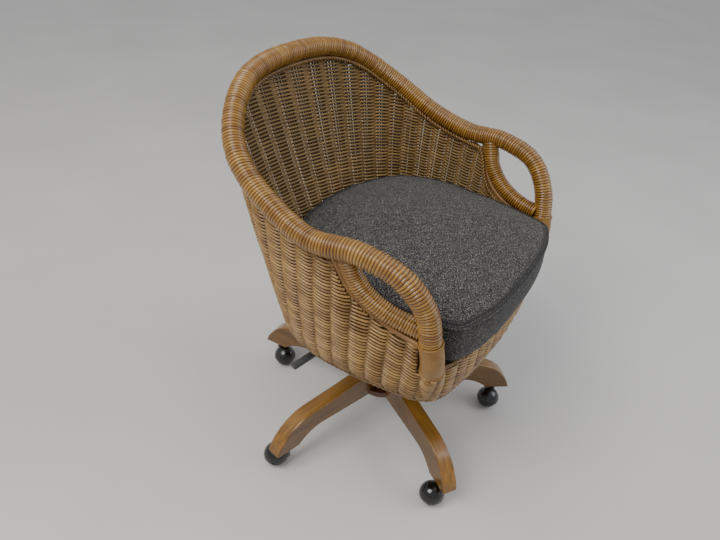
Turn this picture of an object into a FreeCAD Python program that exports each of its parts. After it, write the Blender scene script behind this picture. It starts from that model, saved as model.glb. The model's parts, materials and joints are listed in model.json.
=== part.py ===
import FreeCAD, Part
import math
import os

# Woven barrel chair on a five-legged wooden swivel base.
# Millimetres, +Z up, the sitter faces -Y, origin on the floor under the swivel axis.

# Wooden base
leg_count = 5
first_leg_angle = 94.25
base_reach = 331.0
leg_width = 34.0
leg_root_top = 149.0
leg_root_bottom = 78.0
foot_height = 57.5
foot_length = 59.0
leg_edge_radius = 3.0
leg_top_dip_share = (0.40, 0.945)
leg_top_knee_share = (0.70, 0.905)
leg_top_shoulder_share = (0.885, 0.752)
leg_arch_share = (0.64, 0.577)
leg_arch_outer_share = (0.75, 0.503)
leg_arch_inner_share = (0.42, 0.555)

# Hub that the legs are bolted round
core_half_width = 36.0
core_corner_radius = 41.0
core_top = 152.0
disc_radius = 60.0
disc_bottom = 76.0
disc_thickness = 16.0
disc_edge_radius = 3.0
bolt_circle_radius = 48.0
bolt_radius = 4.0
bolt_head_radius = 6.5
bolt_head_height = 4.0
bolt_length = 52.0
hole_clearance = 0.1
joint_fit = 0.05

# Gas column
tube_radius = 25.0
tube_wall = 2.5
tube_bottom = 78.0
tube_top = 240.0
tube_floor = 3.0
bushing_length = 70.0
cylinder_radius = 14.0
cylinder_wall = 2.5
cylinder_bottom = 140.0
cylinder_cap = 6.0
gland_length = 8.0
rod_radius = 5.0
rod_tail = 4.0
rod_top = 235.0
rod_collar_radius = 9.0
rod_collar_height = 4.0
piston_height = 10.0
bearing_radius = 20.0
bearing_height = 6.0
running_fit = 0.05
button_radius = 3.5
button_height = 6.2
button_lever_gap = 0.3
button_depth = 5.0
button_foot_gap = 2.4

# Height of the lever, which the gas column's head and the tilt mechanism follow
lever_height = 335.0
lever_radius = 3.5
cylinder_top = lever_height - lever_radius - button_lever_gap - button_height

# Tilt mechanism under the seat
housing_half_width = 42.0
housing_front = 100.0
housing_back = 75.0
housing_under_lever = 21.0
housing_bottom = lever_height - housing_under_lever
housing_height = 28.0
housing_wall = 3.0
housing_corner_radius = 11.0
lug_half_width = 6.0
clamp_radius = 22.0
clamp_drop = 18.0
pivot_forward = 45.0
pivot_under_lever = 3.0
pivot_height = lever_height - pivot_under_lever
pivot_radius = 5.0
pivot_head_radius = 8.0
pivot_head_length = 3.0
plate_half_width = 85.0
plate_front = 125.0
plate_back = 95.0
plate_over_pivot = 40.0
plate_bottom = pivot_height + plate_over_pivot
plate_thickness = 4.0
plate_corner_radius = 14.0
cheek_thickness = 4.0
cheek_gap = 0.5
cheek_length = 50.0
cheek_nose = 9.0
bolt_forward = 82.0
tension_bolt_radius = 4.0
tension_collar_radius = 8.0
tension_collar_height = 6.0
swing_hole_radius = 9.0
spring_radius = 13.5
spring_wire = 4.5
spring_length = 54.0
spring_turns = 6
spring_gap = 0.3
cap_radius = 18.0
cap_thickness = 3.0
knob_radius = 19.0
knob_height = 26.0
knob_lobes = 8
knob_lobe_radius = 4.0
knob_lobe_share = 0.4
knob_edge_radius = 2.4
knob_bore_depth = 20.8
knob_gap = 0.5

# Height lever, on the sitter's right
lever_inner = 6.0
lever_pivot_out = 34.0
lever_elbow_out = 62.0
lever_elbow_radius = 24.0
lever_end_out = 274.0
lever_end_back = 71.0
lever_end_height = 285.0
lever_pin_radius = 2.5
lever_pin_half_length = 14.0
lever_slot_half_width = 7.0
grip_start_share = 0.42
grip_width = 15.0
grip_thickness = 11.0
grip_edge_radius = 4.0
grip_end_wall = 10.0
grip_end_gap = 1.5

# Casters
caster_inset = 36.0
caster_radial = base_reach - caster_inset
caster_trail = 22.0
caster_headings = (245.0, 115.0, 161.0, 189.0, 60.0)
wheel_radius = 24.0
wheel_tread = 5.5
wheel_outer = 18.5
wheel_gap = 2.6
axle_radius = 3.0
hood_gap = 0.7
hood_wall = 1.6
hood_skirt = 3.0
web_half = 2.0
web_radius = 21.0
bridge_share = 0.6
boss_radius = 9.5
boss_top_gap = 2.5
stem_radius = 4.0
stem_grip = 36.0
stem_root = 8.0
stem_collar_radius = 7.1
stem_collar_gap = 0.3
axle_inset = 1.0
socket_wall = 1.5
socket_flange_radius = 9.0
socket_flange = 1.5

# Bent pole that forms the back, the arms and the front posts
rail_half_width = 313.0
rail_back = 309.0
rail_top = 806.0
rail_radius = 19.5
rail_samples = 12
rail_shares = (
    (0.706, -0.655, 0.442),
    (0.776, -0.676, 0.491),
    (0.837, -0.693, 0.546),
    (0.867, -0.693, 0.587),
    (0.882, -0.673, 0.629),
    (0.898, -0.625, 0.701),
    (0.940, -0.490, 0.7655),
    (0.970, -0.260, 0.7915),
    (1.000, 0.065, 0.785),
    (0.972, 0.330, 0.812),
    (0.885, 0.665, 0.882),
    (0.560, 0.915, 0.972),
    (0.000, 1.000, 1.000),
)

# Lower poles that close the arm loops
pole_radius = 16.5
pole_shares = (
    (0.968, -0.142, 0.779),
    (0.955, -0.168, 0.752),
    (0.936, -0.207, 0.717),
    (0.917, -0.282, 0.684),
    (0.891, -0.395, 0.658),
    (0.866, -0.518, 0.645),
    (0.856, -0.620, 0.641),
)

# Flat edging along the woven panel under each loop
edging_radius = 5.5
edging_samples = 6
edging_shares = (
    (0.992, -0.070, 0.775),
    (0.978, -0.110, 0.747),
    (0.958, -0.139, 0.715),
    (0.936, -0.182, 0.685),
    (0.900, -0.291, 0.646),
    (0.884, -0.453, 0.620),
    (0.882, -0.610, 0.611),
)

# Plan of the woven tub at its foot, from the front middle round to the back middle
tub_tuck = 28.0
tub_half_width = rail_half_width - tub_tuck
tub_front = 270.0
tub_back = 146.0
tub_samples = 8
tub_plan_shares = (
    (0.000, -1.000),
    (0.225, -0.990),
    (0.420, -0.976),
    (0.640, -0.943),
    (0.760, -0.920),
    (0.848, -0.882),
    (0.898, -0.828),
    (0.932, -0.752),
    (0.966, -0.564),
    (0.990, -0.364),
    (1.000, -0.144),
    (0.995, 0.140),
    (0.950, 0.500),
    (0.840, 0.720),
    (0.640, 0.870),
    (0.350, 0.970),
    (0.000, 1.000),
)
tub_post_index = 7

# Woven wall and the front apron, rolled in at the bottom
wall_thickness = 10.0
wall_bottom = 345.0
wall_roll_height = 60.0
wall_roll_in = 20.0
wall_roll_shares = (0.0, 0.25, 0.6, 1.0)
wall_belly = 5.0
wall_gap = 0.4
wall_stations = 26
sleeve_thickness = 4.0
sleeve_spans = 2
sleeve_tail = 40.0
apron_thickness = 10.0
apron_top = 428.0
apron_set_in = 10.0
apron_stations = 36
braid_radius = 4.5
braid_drop = 2.5
braid_gap = 1.9
braid_stations = 16
braid_start_share = 0.10
border_radius = 6.5

# Smooth wrap round the foot of each front post
sheath_thickness = 1.6
sheath_gap = 0.1
sheath_spans = 2

# Seat deck, the ring under it and the battens that lift it off the plate
batten_thickness = 37.0
board_bottom = plate_bottom + plate_thickness + batten_thickness
board_thickness = 16.0
board_gap = 2.0
board_stations = 20
ring_radius = 12.0
ring_gap = 2.5
ring_front_power = 2.5
ring_back_power = 2.3
ring_stations = 32
batten_half_length = 150.0
batten_width = 40.0
screw_radius = 2.5
screw_head_radius = 6.0
screw_head_height = 3.0
screw_length = 25.0
screw_inset = 20.0
screw_side_inset = 16.0
screw_tip_gap = 2.0

# Cushion, from the front middle round to the back middle
cushion_gap = 0.5
cushion_seam = 515.0
cushion_crown = 30.0
cushion_front = 272.0
cushion_side_inset = 29.0
cushion_half_width = tub_half_width - cushion_side_inset
cushion_back_gap = 11.0
cushion_bulge = 4.5
cushion_bottom_roll = 12.0
cushion_edge_round = 200.0
cushion_plan_shares = (
    (0.000, -1.000),
    (0.215, -0.997),
    (0.421, -0.985),
    (0.590, -0.960),
    (0.725, -0.925),
    (0.865, -0.872),
    (0.908, -0.792),
    (0.924, -0.700),
    (0.962, -0.551),
    (0.994, -0.349),
    (1.000, -0.121),
    (1.012, 0.050),
    (0.985, 0.270),
    (0.925, 0.480),
    (0.810, 0.680),
    (0.610, 0.845),
    (0.345, 0.960),
    (0.000, 1.000),
)
cushion_bulge_shares = ((0.14, 0.4), (0.45, 1.0), (0.80, 0.6), (1.0, 0.0))
cushion_crown_shares = (0.30, 0.62, 0.86, 1.0)

# General
overrun = 2.0
flat_arc_share = 0.0001
same_slope = 1e-9

LEG_ANGLES = [first_leg_angle + 360.0 / leg_count * i for i in range(leg_count)]
X_AXIS = FreeCAD.Vector(1, 0, 0)
Y_AXIS = FreeCAD.Vector(0, 1, 0)
Z_AXIS = FreeCAD.Vector(0, 0, 1)
ORIGIN = FreeCAD.Vector(0, 0, 0)


def vec(x, y, z):
    return FreeCAD.Vector(x, y, z)


def cylinder(radius, bottom, top, x=0.0, y=0.0):
    return Part.makeCylinder(radius, top - bottom, vec(x, y, bottom))


def tube(outer, inner, bottom, top, x=0.0, y=0.0):
    outside = cylinder(outer, bottom, top, x, y)
    return outside.cut(cylinder(inner, bottom - overrun, top + overrun, x, y))


def box(x0, x1, y0, y1, z0, z1):
    return Part.makeBox(x1 - x0, y1 - y0, z1 - z0, vec(x0, y0, z0))


def turned(shape, angle, centre=ORIGIN):
    copy = shape.copy()
    copy.rotate(centre, Z_AXIS, angle)
    return copy


def moved(shape, x, y, z):
    copy = shape.copy()
    copy.translate(vec(x, y, z))
    return copy


def mirrored(shape):
    return shape.mirror(ORIGIN, X_AXIS)


def shared(shares, x_size, y_size, z_size):
    return [vec(-x * x_size, y * y_size, z * z_size) for x, y, z in shares]


# Smooth paths made of pairs of tangent arcs
def tangents(points, closed):
    count = len(points)
    result = []
    for i in range(count):
        before = points[i - 1] if i or closed else points[0]
        after = points[(i + 1) % count] if i + 1 < count or closed else points[-1]
        one = (points[i] - before).Length or 1.0
        two = (after - points[i]).Length or 1.0
        slope = (points[i] - before) * (two / one) + (after - points[i]) * (one / two)
        result.append(slope.normalize())
    return result


def arc_edge(start, corner, end):
    middle = (start + end) * 0.5
    rise = (corner - middle).Length
    reach = (corner - start).Length
    if rise < reach * flat_arc_share:
        return Part.makeLine(start, end)
    radius = reach * (start - middle).Length / rise
    depth = math.hypot(radius, reach) - radius
    crest = corner + (middle - corner).normalize() * depth
    return Part.Arc(start, crest, end).toShape()


def smooth_edges(points, closed=False, ends=None):
    slopes = tangents(points, closed)
    if ends:
        slopes[0], slopes[-1] = ends
    spans = len(points) if closed else len(points) - 1
    edges = []
    for i in range(spans):
        start, end = points[i], points[(i + 1) % len(points)]
        t_start, t_end = slopes[i], slopes[(i + 1) % len(points)]
        chord = end - start
        both = t_start + t_end
        turn = 2.0 * (1.0 - t_start.dot(t_end))
        along = chord.dot(both)
        square = chord.dot(chord)
        reach = square / (2.0 * along) if turn < same_slope else (
            (math.sqrt(along * along + turn * square) - along) / turn)
        one, two = start + t_start * reach, end - t_end * reach
        joint = (one + two) * 0.5
        edges += [arc_edge(start, one, joint), arc_edge(joint, two, end)]
    return edges


def smooth_points(points, per_span, closed=False):
    wire = Part.Wire(smooth_edges(points, closed))
    return wire.discretize(Number=per_span * (len(points) - 1) + 1)


def pipe(edges, radius):
    wire = Part.Wire(edges)
    first = edges[0]
    start = first.valueAt(first.FirstParameter)
    slope = first.tangentAt(first.FirstParameter)
    section = Part.Wire(Part.makeCircle(radius, start, slope))
    return wire.makePipeShell([section], True, False)


def spot_at(points, share):
    """Point at a share of a sampled line's length."""
    lengths = [(b - a).Length for a, b in zip(points, points[1:])]
    left = share * sum(lengths)
    for a, b, length in zip(points, points[1:], lengths):
        if left <= length:
            return a + (b - a) * (left / length)
        left -= length
    return points[-1]


# The bent pole
def rail_half_points():
    return shared(rail_shares, rail_half_width, rail_back, rail_top)


def both_sides(half):
    other = [vec(-p.x, p.y, p.z) for p in reversed(half[:-1])]
    return half + other


RAIL_EDGES = smooth_edges(both_sides(rail_half_points()))
RAIL_LINE = smooth_points(both_sides(rail_half_points()), rail_samples)
RAIL_HALF = RAIL_LINE[:len(RAIL_LINE) // 2 + 1]
POLE_POINTS = shared(pole_shares, rail_half_width, rail_back, rail_top)
EDGING_POINTS = shared(edging_shares, rail_half_width, rail_back, rail_top)


def make_top_rail():
    return pipe(RAIL_EDGES, rail_radius)


def rail_shadow():
    """Room that the pole takes out of its neighbours."""
    return pipe(RAIL_EDGES, rail_radius + wall_gap)


def make_loop_pole(room):
    pole = pipe(smooth_edges(POLE_POINTS), pole_radius)
    return largest(pole.cut(room))


def pole_shadow():
    """Room that the loop pole takes out of its neighbours."""
    return pipe(smooth_edges(POLE_POINTS), pole_radius + wall_gap)


def make_edging(room):
    band = pipe(smooth_edges(EDGING_POINTS), edging_radius)
    return largest(band.cut(room))


def largest(shape):
    return max(shape.Solids, key=lambda solid: solid.Volume)


# Smooth wrap round the foot of the front post, and the weave that turns round it below
def sheath_edges():
    return RAIL_EDGES[2 * sleeve_spans:2 * (sleeve_spans + sheath_spans)]


def make_post_sheath():
    bore = rail_radius + sheath_gap
    return pipe(sheath_edges(), bore + sheath_thickness).cut(pipe(sheath_edges(), bore))


def post_sleeve(clearance):
    """Round of weave about the post, cut level at the foot of the wall."""
    first = RAIL_EDGES[0]
    start = first.valueAt(first.FirstParameter)
    slope = first.tangentAt(first.FirstParameter)
    edges = [Part.makeLine(start - slope * sleeve_tail, start)] + RAIL_EDGES[:2 * sleeve_spans]
    sleeve = pipe(edges, rail_radius + wall_gap + sleeve_thickness + clearance)
    return sleeve.common(box(-rail_half_width, 0.0, -rail_back, 0.0, wall_bottom, rail_top))


# The woven wall, from its rolled-in bottom edge up to the pole
def roll_at(height):
    """How far the foot of the weave has rolled in at a height."""
    low = min(1.0, max(0.0, 1.0 - (height - wall_bottom) / wall_roll_height))
    return wall_roll_in * (1.0 - math.sqrt(1.0 - low * low))


def plan_points(first, last, inset, height):
    """Plan points of the tub on the sitter's right, drawn in by an inset."""
    points = []
    for across, along in tub_plan_shares[first:last + 1]:
        depth = tub_back if along > 0.0 else tub_front
        points.append(vec(-across * (tub_half_width - inset), along * (depth - inset), height))
    return points


def wall_top_half():
    """Top edge of the weave: along the edging, then under the pole to the middle of the back."""
    edging = smooth_points(EDGING_POINTS, edging_samples)
    lower = [p - Z_AXIS * (edging_radius + wall_gap) for p in reversed(edging)]
    after = [p for p in RAIL_HALF if p.y > lower[-1].y + rail_radius and p.z > lower[-1].z]
    upper = [p - Z_AXIS * (rail_radius + wall_gap) for p in after]
    return lower + upper


PLAN_LAST = len(tub_plan_shares) - 1
FOOT_HALF = smooth_points(plan_points(tub_post_index, PLAN_LAST, 0.0, wall_bottom), tub_samples)
TOP_HALF = wall_top_half()


def wall_frame(share):
    """Foot point, top point and outward direction of one upright of the wall."""
    foot = spot_at(FOOT_HALF, share)
    top = spot_at(TOP_HALF, share)
    step = 1.0 / wall_stations
    ahead = spot_at(FOOT_HALF, min(1.0, share + step)) + spot_at(TOP_HALF, min(1.0, share + step))
    behind = spot_at(FOOT_HALF, max(0.0, share - step)) + spot_at(TOP_HALF, max(0.0, share - step))
    run = ahead - behind
    out = vec(-run.y, run.x, 0.0).normalize()
    if share >= 1.0:
        out = Y_AXIS
    return foot, top, out


def wall_spot(share, height, inset):
    """Point on the wall's outer face, or an inset behind it, at a height."""
    foot, top, out = wall_frame(share)
    part = (height - foot.z) / (top.z - foot.z)
    bulge = 4.0 * wall_belly * part * (1.0 - part)
    face = foot + (top - foot) * part + out * (0.5 * wall_thickness * part)
    return vec(face.x, face.y, height) + out * (bulge - roll_at(height) - inset)


def wall_section(share):
    foot, top, _ = wall_frame(share)
    heights = [foot.z + wall_roll_height * rise for rise in wall_roll_shares]
    heights.append((heights[-1] + top.z) * 0.5)
    heights.append(top.z)
    outer = [wall_spot(share, z, 0.0) for z in heights]
    inner = [wall_spot(share, z, wall_thickness) for z in reversed(heights)]
    ring = outer + inner
    return Part.makePolygon(ring + ring[:1])


def make_woven_wall(room):
    half = [i / float(wall_stations) for i in range(wall_stations + 1)]
    right = [wall_section(share) for share in half]
    left = [mirrored(section) for section in reversed(right[:-1])]
    wall = Part.makeLoft(right + left, True, True)
    sleeve = post_sleeve(0.0)
    wall = wall.fuse([sleeve, mirrored(sleeve)])
    return largest(wall.cut(room))


def make_rim_braid(room):
    """Braided trim inside the wall under the pole and down behind each loop."""
    half = []
    for i in range(braid_stations + 1):
        _, top, out = wall_frame(braid_start_share + (1.0 - braid_start_share) * i / braid_stations)
        half.append(top - out * (0.5 * wall_thickness + braid_radius + braid_gap) - Z_AXIS * braid_drop)
    return largest(pipe(smooth_edges(both_sides(half)), braid_radius).cut(room))


# The front apron between the posts, below the cushion
def apron_line(height, inset):
    """Face of the apron at a height, from the sitter's right post to the left one."""
    set_in = apron_set_in + roll_at(height) * (1.0 - apron_set_in / wall_roll_in)
    right = list(reversed(plan_points(0, tub_post_index, inset + set_in, height)))
    return smooth_points(both_sides(right), tub_samples)


def make_front_apron():
    levels = [wall_bottom + wall_roll_height * rise for rise in wall_roll_shares] + [apron_top]
    outer = [apron_line(z, 0.0) for z in levels]
    inner = [apron_line(z, apron_thickness) for z in reversed(levels)]
    sections = []
    for i in range(apron_stations + 1):
        ring = [spot_at(line, i / float(apron_stations)) for line in outer + inner]
        sections.append(Part.makePolygon(ring + ring[:1]))
    apron = Part.makeLoft(sections, True, True)
    sleeve = post_sleeve(wall_gap)
    return largest(apron.cut([sleeve, mirrored(sleeve)]))


def make_bottom_border():
    """Border that closes the lower edge of the weave all the way round."""
    inset = wall_roll_in + 0.5 * wall_thickness
    right = plan_points(0, PLAN_LAST, inset, wall_bottom - border_radius)
    left = [vec(-p.x, p.y, p.z) for p in reversed(right[1:-1])]
    return pipe(smooth_edges(right + left, True), border_radius)


# Seat deck
def deck_half(height, front_inset, inset):
    """Inside line of the weave at a height, from the front middle to the back middle."""
    front = plan_points(0, tub_post_index - 1, front_inset + apron_set_in, height)
    side = [wall_spot(i / float(board_stations), height, inset) for i in range(1, board_stations + 1)]
    return front + side


def make_seat_board():
    right = deck_half(board_bottom, apron_thickness + board_gap, wall_thickness + board_gap)
    left = [vec(-p.x, p.y, p.z) for p in reversed(right[1:-1])]
    outline = Part.makePolygon(right + left + right[:1])
    board = Part.Face(outline).extrude(Z_AXIS * board_thickness)
    sleeve = post_sleeve(board_gap)
    return largest(board.cut([sleeve, mirrored(sleeve)]))


def make_seat_ring():
    """Bent pole inside the weave under the deck, with rounder corners than the tub."""
    height = board_bottom - ring_radius
    widest = max(-wall_spot(i / float(board_stations), height, 0.0).x for i in range(board_stations))
    inset = wall_thickness + ring_gap + ring_radius
    back = wall_spot(1.0, height, inset).y
    front = tub_front - apron_set_in - apron_thickness - ring_gap - ring_radius
    points = []
    for i in range(ring_stations):
        angle = 2.0 * math.pi * i / ring_stations
        c, s = math.cos(angle), math.sin(angle)
        power = ring_back_power if s > 0.0 else ring_front_power
        x = math.copysign(abs(c) ** (2.0 / power), c) * (widest - inset)
        y = math.copysign(abs(s) ** (2.0 / power), s) * (back if s > 0.0 else front)
        points.append(vec(x, y, height))
    return pipe(smooth_edges(points, True), ring_radius)


def screw_places():
    x = plate_half_width - screw_side_inset
    return [(side * x, y) for side in (-1, 1) for y in (-plate_front + screw_inset, plate_back - screw_inset)]


def make_seat_battens():
    """Two battens between the tilt plate and the deck."""
    battens = []
    for y in (-plate_front + screw_inset, plate_back - screw_inset):
        battens.append(box(-batten_half_length, batten_half_length,
                           y - 0.5 * batten_width, y + 0.5 * batten_width,
                           plate_bottom + plate_thickness, board_bottom))
    pair = Part.makeCompound(battens)
    for x, y in screw_places():
        pair = pair.cut(cylinder(screw_radius + hole_clearance, plate_bottom,
                                 plate_bottom + plate_thickness + screw_length, x, y))
    return pair


def make_plate_screws():
    screws = []
    for x, y in screw_places():
        head = cylinder(screw_head_radius, plate_bottom - screw_head_height, plate_bottom, x, y)
        tip = plate_bottom + plate_thickness + screw_length - screw_tip_gap
        shank = cylinder(screw_radius, plate_bottom, tip, x, y)
        screws.append(head.fuse(shank).removeSplitter())
    return Part.makeCompound(screws)


# Cushion: boxed, crowned and drawn in between its seams
def cushion_ring(height, inset, scale, rise):
    back = wall_spot(1.0, height, wall_thickness + cushion_back_gap).y
    right = []
    for across, along in cushion_plan_shares:
        depth = back if along > 0.0 else cushion_front
        right.append(vec(-across * (cushion_half_width - inset), along * (depth - inset), height))
    points = right + [vec(-p.x, p.y, p.z) for p in reversed(right[1:-1])]
    middle = vec(0.0, 0.5 * (back - cushion_front), height)
    ring = [middle + (p - middle) * scale + Z_AXIS * rise for p in points]
    return Part.makePolygon(ring + ring[:1])


def make_cushion():
    bottom = board_bottom + board_thickness + cushion_gap
    depth = cushion_seam - bottom
    wires = [cushion_ring(bottom, cushion_bottom_roll, 1.0, 0.0)]
    wires += [cushion_ring(bottom + depth * rise, -cushion_bulge * out, 1.0, 0.0)
              for rise, out in cushion_bulge_shares]
    for share in cushion_crown_shares:
        inset = cushion_edge_round * (1.0 - math.sqrt(1.0 - share * share))
        wires.append(cushion_ring(cushion_seam, 0.0, 1.0 - inset / cushion_half_width, cushion_crown * share))
    return Part.makeLoft(wires, True, True)


# Wooden base
def leg_point(share):
    return vec(share[0] * base_reach, 0.0, share[1] * leg_root_top)


def make_leg():
    root = core_half_width + joint_fit
    top_root = vec(root, 0.0, leg_root_top)
    knee = leg_point(leg_top_knee_share)
    tip = vec(base_reach, 0.0, foot_height)
    heel = vec(base_reach - foot_length, 0.0, foot_height)
    arch = leg_point(leg_arch_share)
    bottom_root = vec(root, 0.0, leg_root_bottom)
    edges = [
        Part.Arc(top_root, leg_point(leg_top_dip_share), knee).toShape(),
        Part.Arc(knee, leg_point(leg_top_shoulder_share), tip).toShape(),
        Part.makeLine(tip, heel),
        Part.Arc(heel, leg_point(leg_arch_outer_share), arch).toShape(),
        Part.Arc(arch, leg_point(leg_arch_inner_share), bottom_root).toShape(),
        Part.makeLine(bottom_root, top_root),
    ]
    face = Part.Face(Part.Wire(edges))
    face.translate(Y_AXIS * (-0.5 * leg_width))
    leg = face.extrude(Y_AXIS * leg_width)
    rounded = [e for e in leg.Edges if on_leg_top(e)]
    leg = leg.makeFillet(leg_edge_radius, rounded)
    leg = leg.cut(cylinder(disc_radius + joint_fit, 0.0, disc_bottom + disc_thickness))
    leg = leg.cut(cylinder(bolt_radius + hole_clearance, 0.0, disc_bottom + bolt_length + overrun,
                           bolt_circle_radius))
    socket_room = cylinder(socket_radius() + joint_fit, 0.0, foot_height + stem_grip + overrun, caster_radial)
    return leg.cut(socket_room)


def on_leg_top(edge):
    flat = edge.BoundBox.YLength < joint_fit
    high = edge.BoundBox.ZMax > 0.5 * (foot_height + core_top)
    return flat and high and edge.BoundBox.XLength > foot_length


def socket_radius():
    return stem_radius + running_fit + socket_wall


def make_hub_core():
    """Five-sided block with one flat for each leg."""
    half_turn = math.pi / leg_count
    reach = core_half_width / math.cos(half_turn)
    bottom = disc_bottom + disc_thickness
    corners = []
    for angle in LEG_ANGLES:
        corner = math.radians(angle) + half_turn
        corners.append(vec(reach * math.cos(corner), reach * math.sin(corner), bottom))
    block = Part.Face(Part.makePolygon(corners + corners[:1])).extrude(Z_AXIS * (core_top - bottom))
    return block.common(tube(core_corner_radius, tube_radius + joint_fit, bottom, core_top))


def make_hub_disc():
    disc = cylinder(disc_radius, disc_bottom, disc_bottom + disc_thickness)
    flat = [e for e in disc.Edges if e.BoundBox.ZLength < joint_fit]
    rim = [e for e in flat if e.BoundBox.ZMax < disc_bottom + overrun]
    disc = disc.makeFillet(disc_edge_radius, rim)
    disc = disc.cut(cylinder(tube_radius + joint_fit, 0.0, core_top))
    for angle in LEG_ANGLES:
        hole = cylinder(bolt_radius + hole_clearance, 0.0, core_top, bolt_circle_radius)
        disc = disc.cut(turned(hole, angle))
    return disc


def make_leg_bolts():
    head = cylinder(bolt_head_radius, disc_bottom - bolt_head_height, disc_bottom, bolt_circle_radius)
    shank = cylinder(bolt_radius, disc_bottom, disc_bottom + bolt_length, bolt_circle_radius)
    bolt = head.fuse(shank).removeSplitter()
    return Part.makeCompound([turned(bolt, angle) for angle in LEG_ANGLES])


def make_caster_sockets():
    bore = stem_radius + running_fit
    sleeve = cylinder(socket_radius(), foot_height, foot_height + stem_grip, caster_radial)
    flange = cylinder(socket_flange_radius, foot_height - socket_flange, foot_height, caster_radial)
    socket = sleeve.fuse(flange).removeSplitter()
    socket = socket.cut(cylinder(bore, 0.0, core_top, caster_radial))
    return Part.makeCompound([turned(socket, angle) for angle in LEG_ANGLES])


# Gas column
def make_column_tube():
    body = cylinder(tube_radius, tube_bottom, tube_top)
    body = body.cut(cylinder(tube_radius - tube_wall, tube_bottom + tube_floor, tube_top + overrun))
    return body.cut(cylinder(rod_radius + running_fit, 0.0, tube_top))


def make_column_bushing():
    return tube(tube_radius - tube_wall, cylinder_radius + running_fit, tube_top - bushing_length, tube_top)


def bearing_bottom():
    return tube_bottom + tube_floor


def make_thrust_bearing():
    return tube(bearing_radius, rod_radius + running_fit, bearing_bottom(), bearing_bottom() + bearing_height)


def make_piston_rod():
    collar_bottom = bearing_bottom() + bearing_height + running_fit
    rod = cylinder(rod_radius, tube_bottom - rod_tail, rod_top)
    collar = cylinder(rod_collar_radius, collar_bottom, collar_bottom + rod_collar_height)
    head = cylinder(cylinder_radius - cylinder_wall - running_fit, rod_top - piston_height, rod_top)
    return rod.fuse([collar, head]).removeSplitter()


def make_gas_cylinder():
    body = cylinder(cylinder_radius, cylinder_bottom, cylinder_top)
    hollow = cylinder(cylinder_radius - cylinder_wall, cylinder_bottom + gland_length,
                      cylinder_top - cylinder_cap)
    gland = cylinder(rod_radius + running_fit, 0.0, cylinder_bottom + gland_length + overrun)
    seat = cylinder(button_radius + running_fit, cylinder_top - button_depth, cylinder_top + overrun)
    return body.cut(hollow).cut(gland).cut(seat)


def make_valve_button():
    foot = cylinder_top - button_depth + button_foot_gap
    return cylinder(button_radius, foot, cylinder_top + button_height)


# Tilt mechanism
def make_housing():
    top = housing_bottom + housing_height
    outer = box(-housing_half_width, housing_half_width, -housing_front, housing_back, housing_bottom, top)
    corners = [e for e in outer.Edges if e.BoundBox.ZLength > housing_height - overrun]
    outer = outer.makeFillet(housing_corner_radius, corners)
    inner = box(-housing_half_width + housing_wall, housing_half_width - housing_wall,
                -housing_front + housing_wall, housing_back - housing_wall,
                housing_bottom + housing_wall, top - housing_wall)
    body = outer.cut(inner)
    clamp = cylinder(clamp_radius, housing_bottom - clamp_drop, cylinder_top)
    body = body.fuse(clamp).removeSplitter()
    body = body.cut(cylinder(cylinder_radius + joint_fit, 0.0, cylinder_top + overrun))
    body = body.cut(cylinder(swing_hole_radius, 0.0, plate_bottom, 0.0, -bolt_forward))
    slot = box(-housing_half_width - overrun, 0.0, -lever_slot_half_width, lever_slot_half_width,
               lever_height - lever_slot_half_width, top - housing_wall)
    body = body.cut(slot)
    body = body.cut(x_cylinder(pivot_radius + running_fit, -plate_half_width, plate_half_width,
                               -pivot_forward, pivot_height))
    for side in (-1, 1):
        lug_y = side * (lever_slot_half_width + housing_wall)
        lug = box(-lever_pivot_out - lug_half_width, -lever_pivot_out + lug_half_width,
                  min(lug_y, side * lever_slot_half_width), max(lug_y, side * lever_slot_half_width),
                  lever_height - lug_half_width, top - housing_wall * 0.5)
        body = body.fuse(lug)
    body = body.removeSplitter()
    return body.cut(y_cylinder(lever_pin_radius + joint_fit, -lever_pivot_out, lever_height,
                               lever_pin_half_length + overrun))


def x_cylinder(radius, x0, x1, y, z):
    return Part.makeCylinder(radius, x1 - x0, vec(x0, y, z), X_AXIS)


def y_cylinder(radius, x, z, half_length):
    return Part.makeCylinder(radius, 2.0 * half_length, vec(x, -half_length, z), Y_AXIS)


def cheek_outer():
    return housing_half_width + cheek_gap + cheek_thickness


def make_tilt_plate():
    plate = box(-plate_half_width, plate_half_width, -plate_front, plate_back,
                plate_bottom, plate_bottom + plate_thickness)
    corners = [e for e in plate.Edges if abs(e.BoundBox.ZLength - plate_thickness) < joint_fit]
    plate = plate.makeFillet(plate_corner_radius, corners)
    for side in (-1, 1):
        near, far = side * (housing_half_width + cheek_gap), side * cheek_outer()
        cheek = box(min(near, far), max(near, far), -pivot_forward - cheek_length * 0.5,
                    -pivot_forward + cheek_length * 0.5, pivot_height - cheek_nose, plate_bottom)
        plate = plate.fuse(cheek)
    plate = plate.removeSplitter()
    plate = plate.cut(x_cylinder(pivot_radius + running_fit, -plate_half_width, plate_half_width,
                                 -pivot_forward, pivot_height))
    for x, y in screw_places():
        plate = plate.cut(cylinder(screw_radius + hole_clearance, 0.0, rail_top, x, y))
    return plate


def make_tilt_pin():
    end = cheek_outer() + cheek_gap
    pin = x_cylinder(pivot_radius, -end, end, -pivot_forward, pivot_height)
    for x0, x1 in ((-end - pivot_head_length, -end), (end, end + pivot_head_length)):
        pin = pin.fuse(x_cylinder(pivot_head_radius, x0, x1, -pivot_forward, pivot_height))
    return pin.removeSplitter()


def spring_top():
    return housing_bottom - spring_gap


def spring_bottom():
    return spring_top() - spring_length


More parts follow.
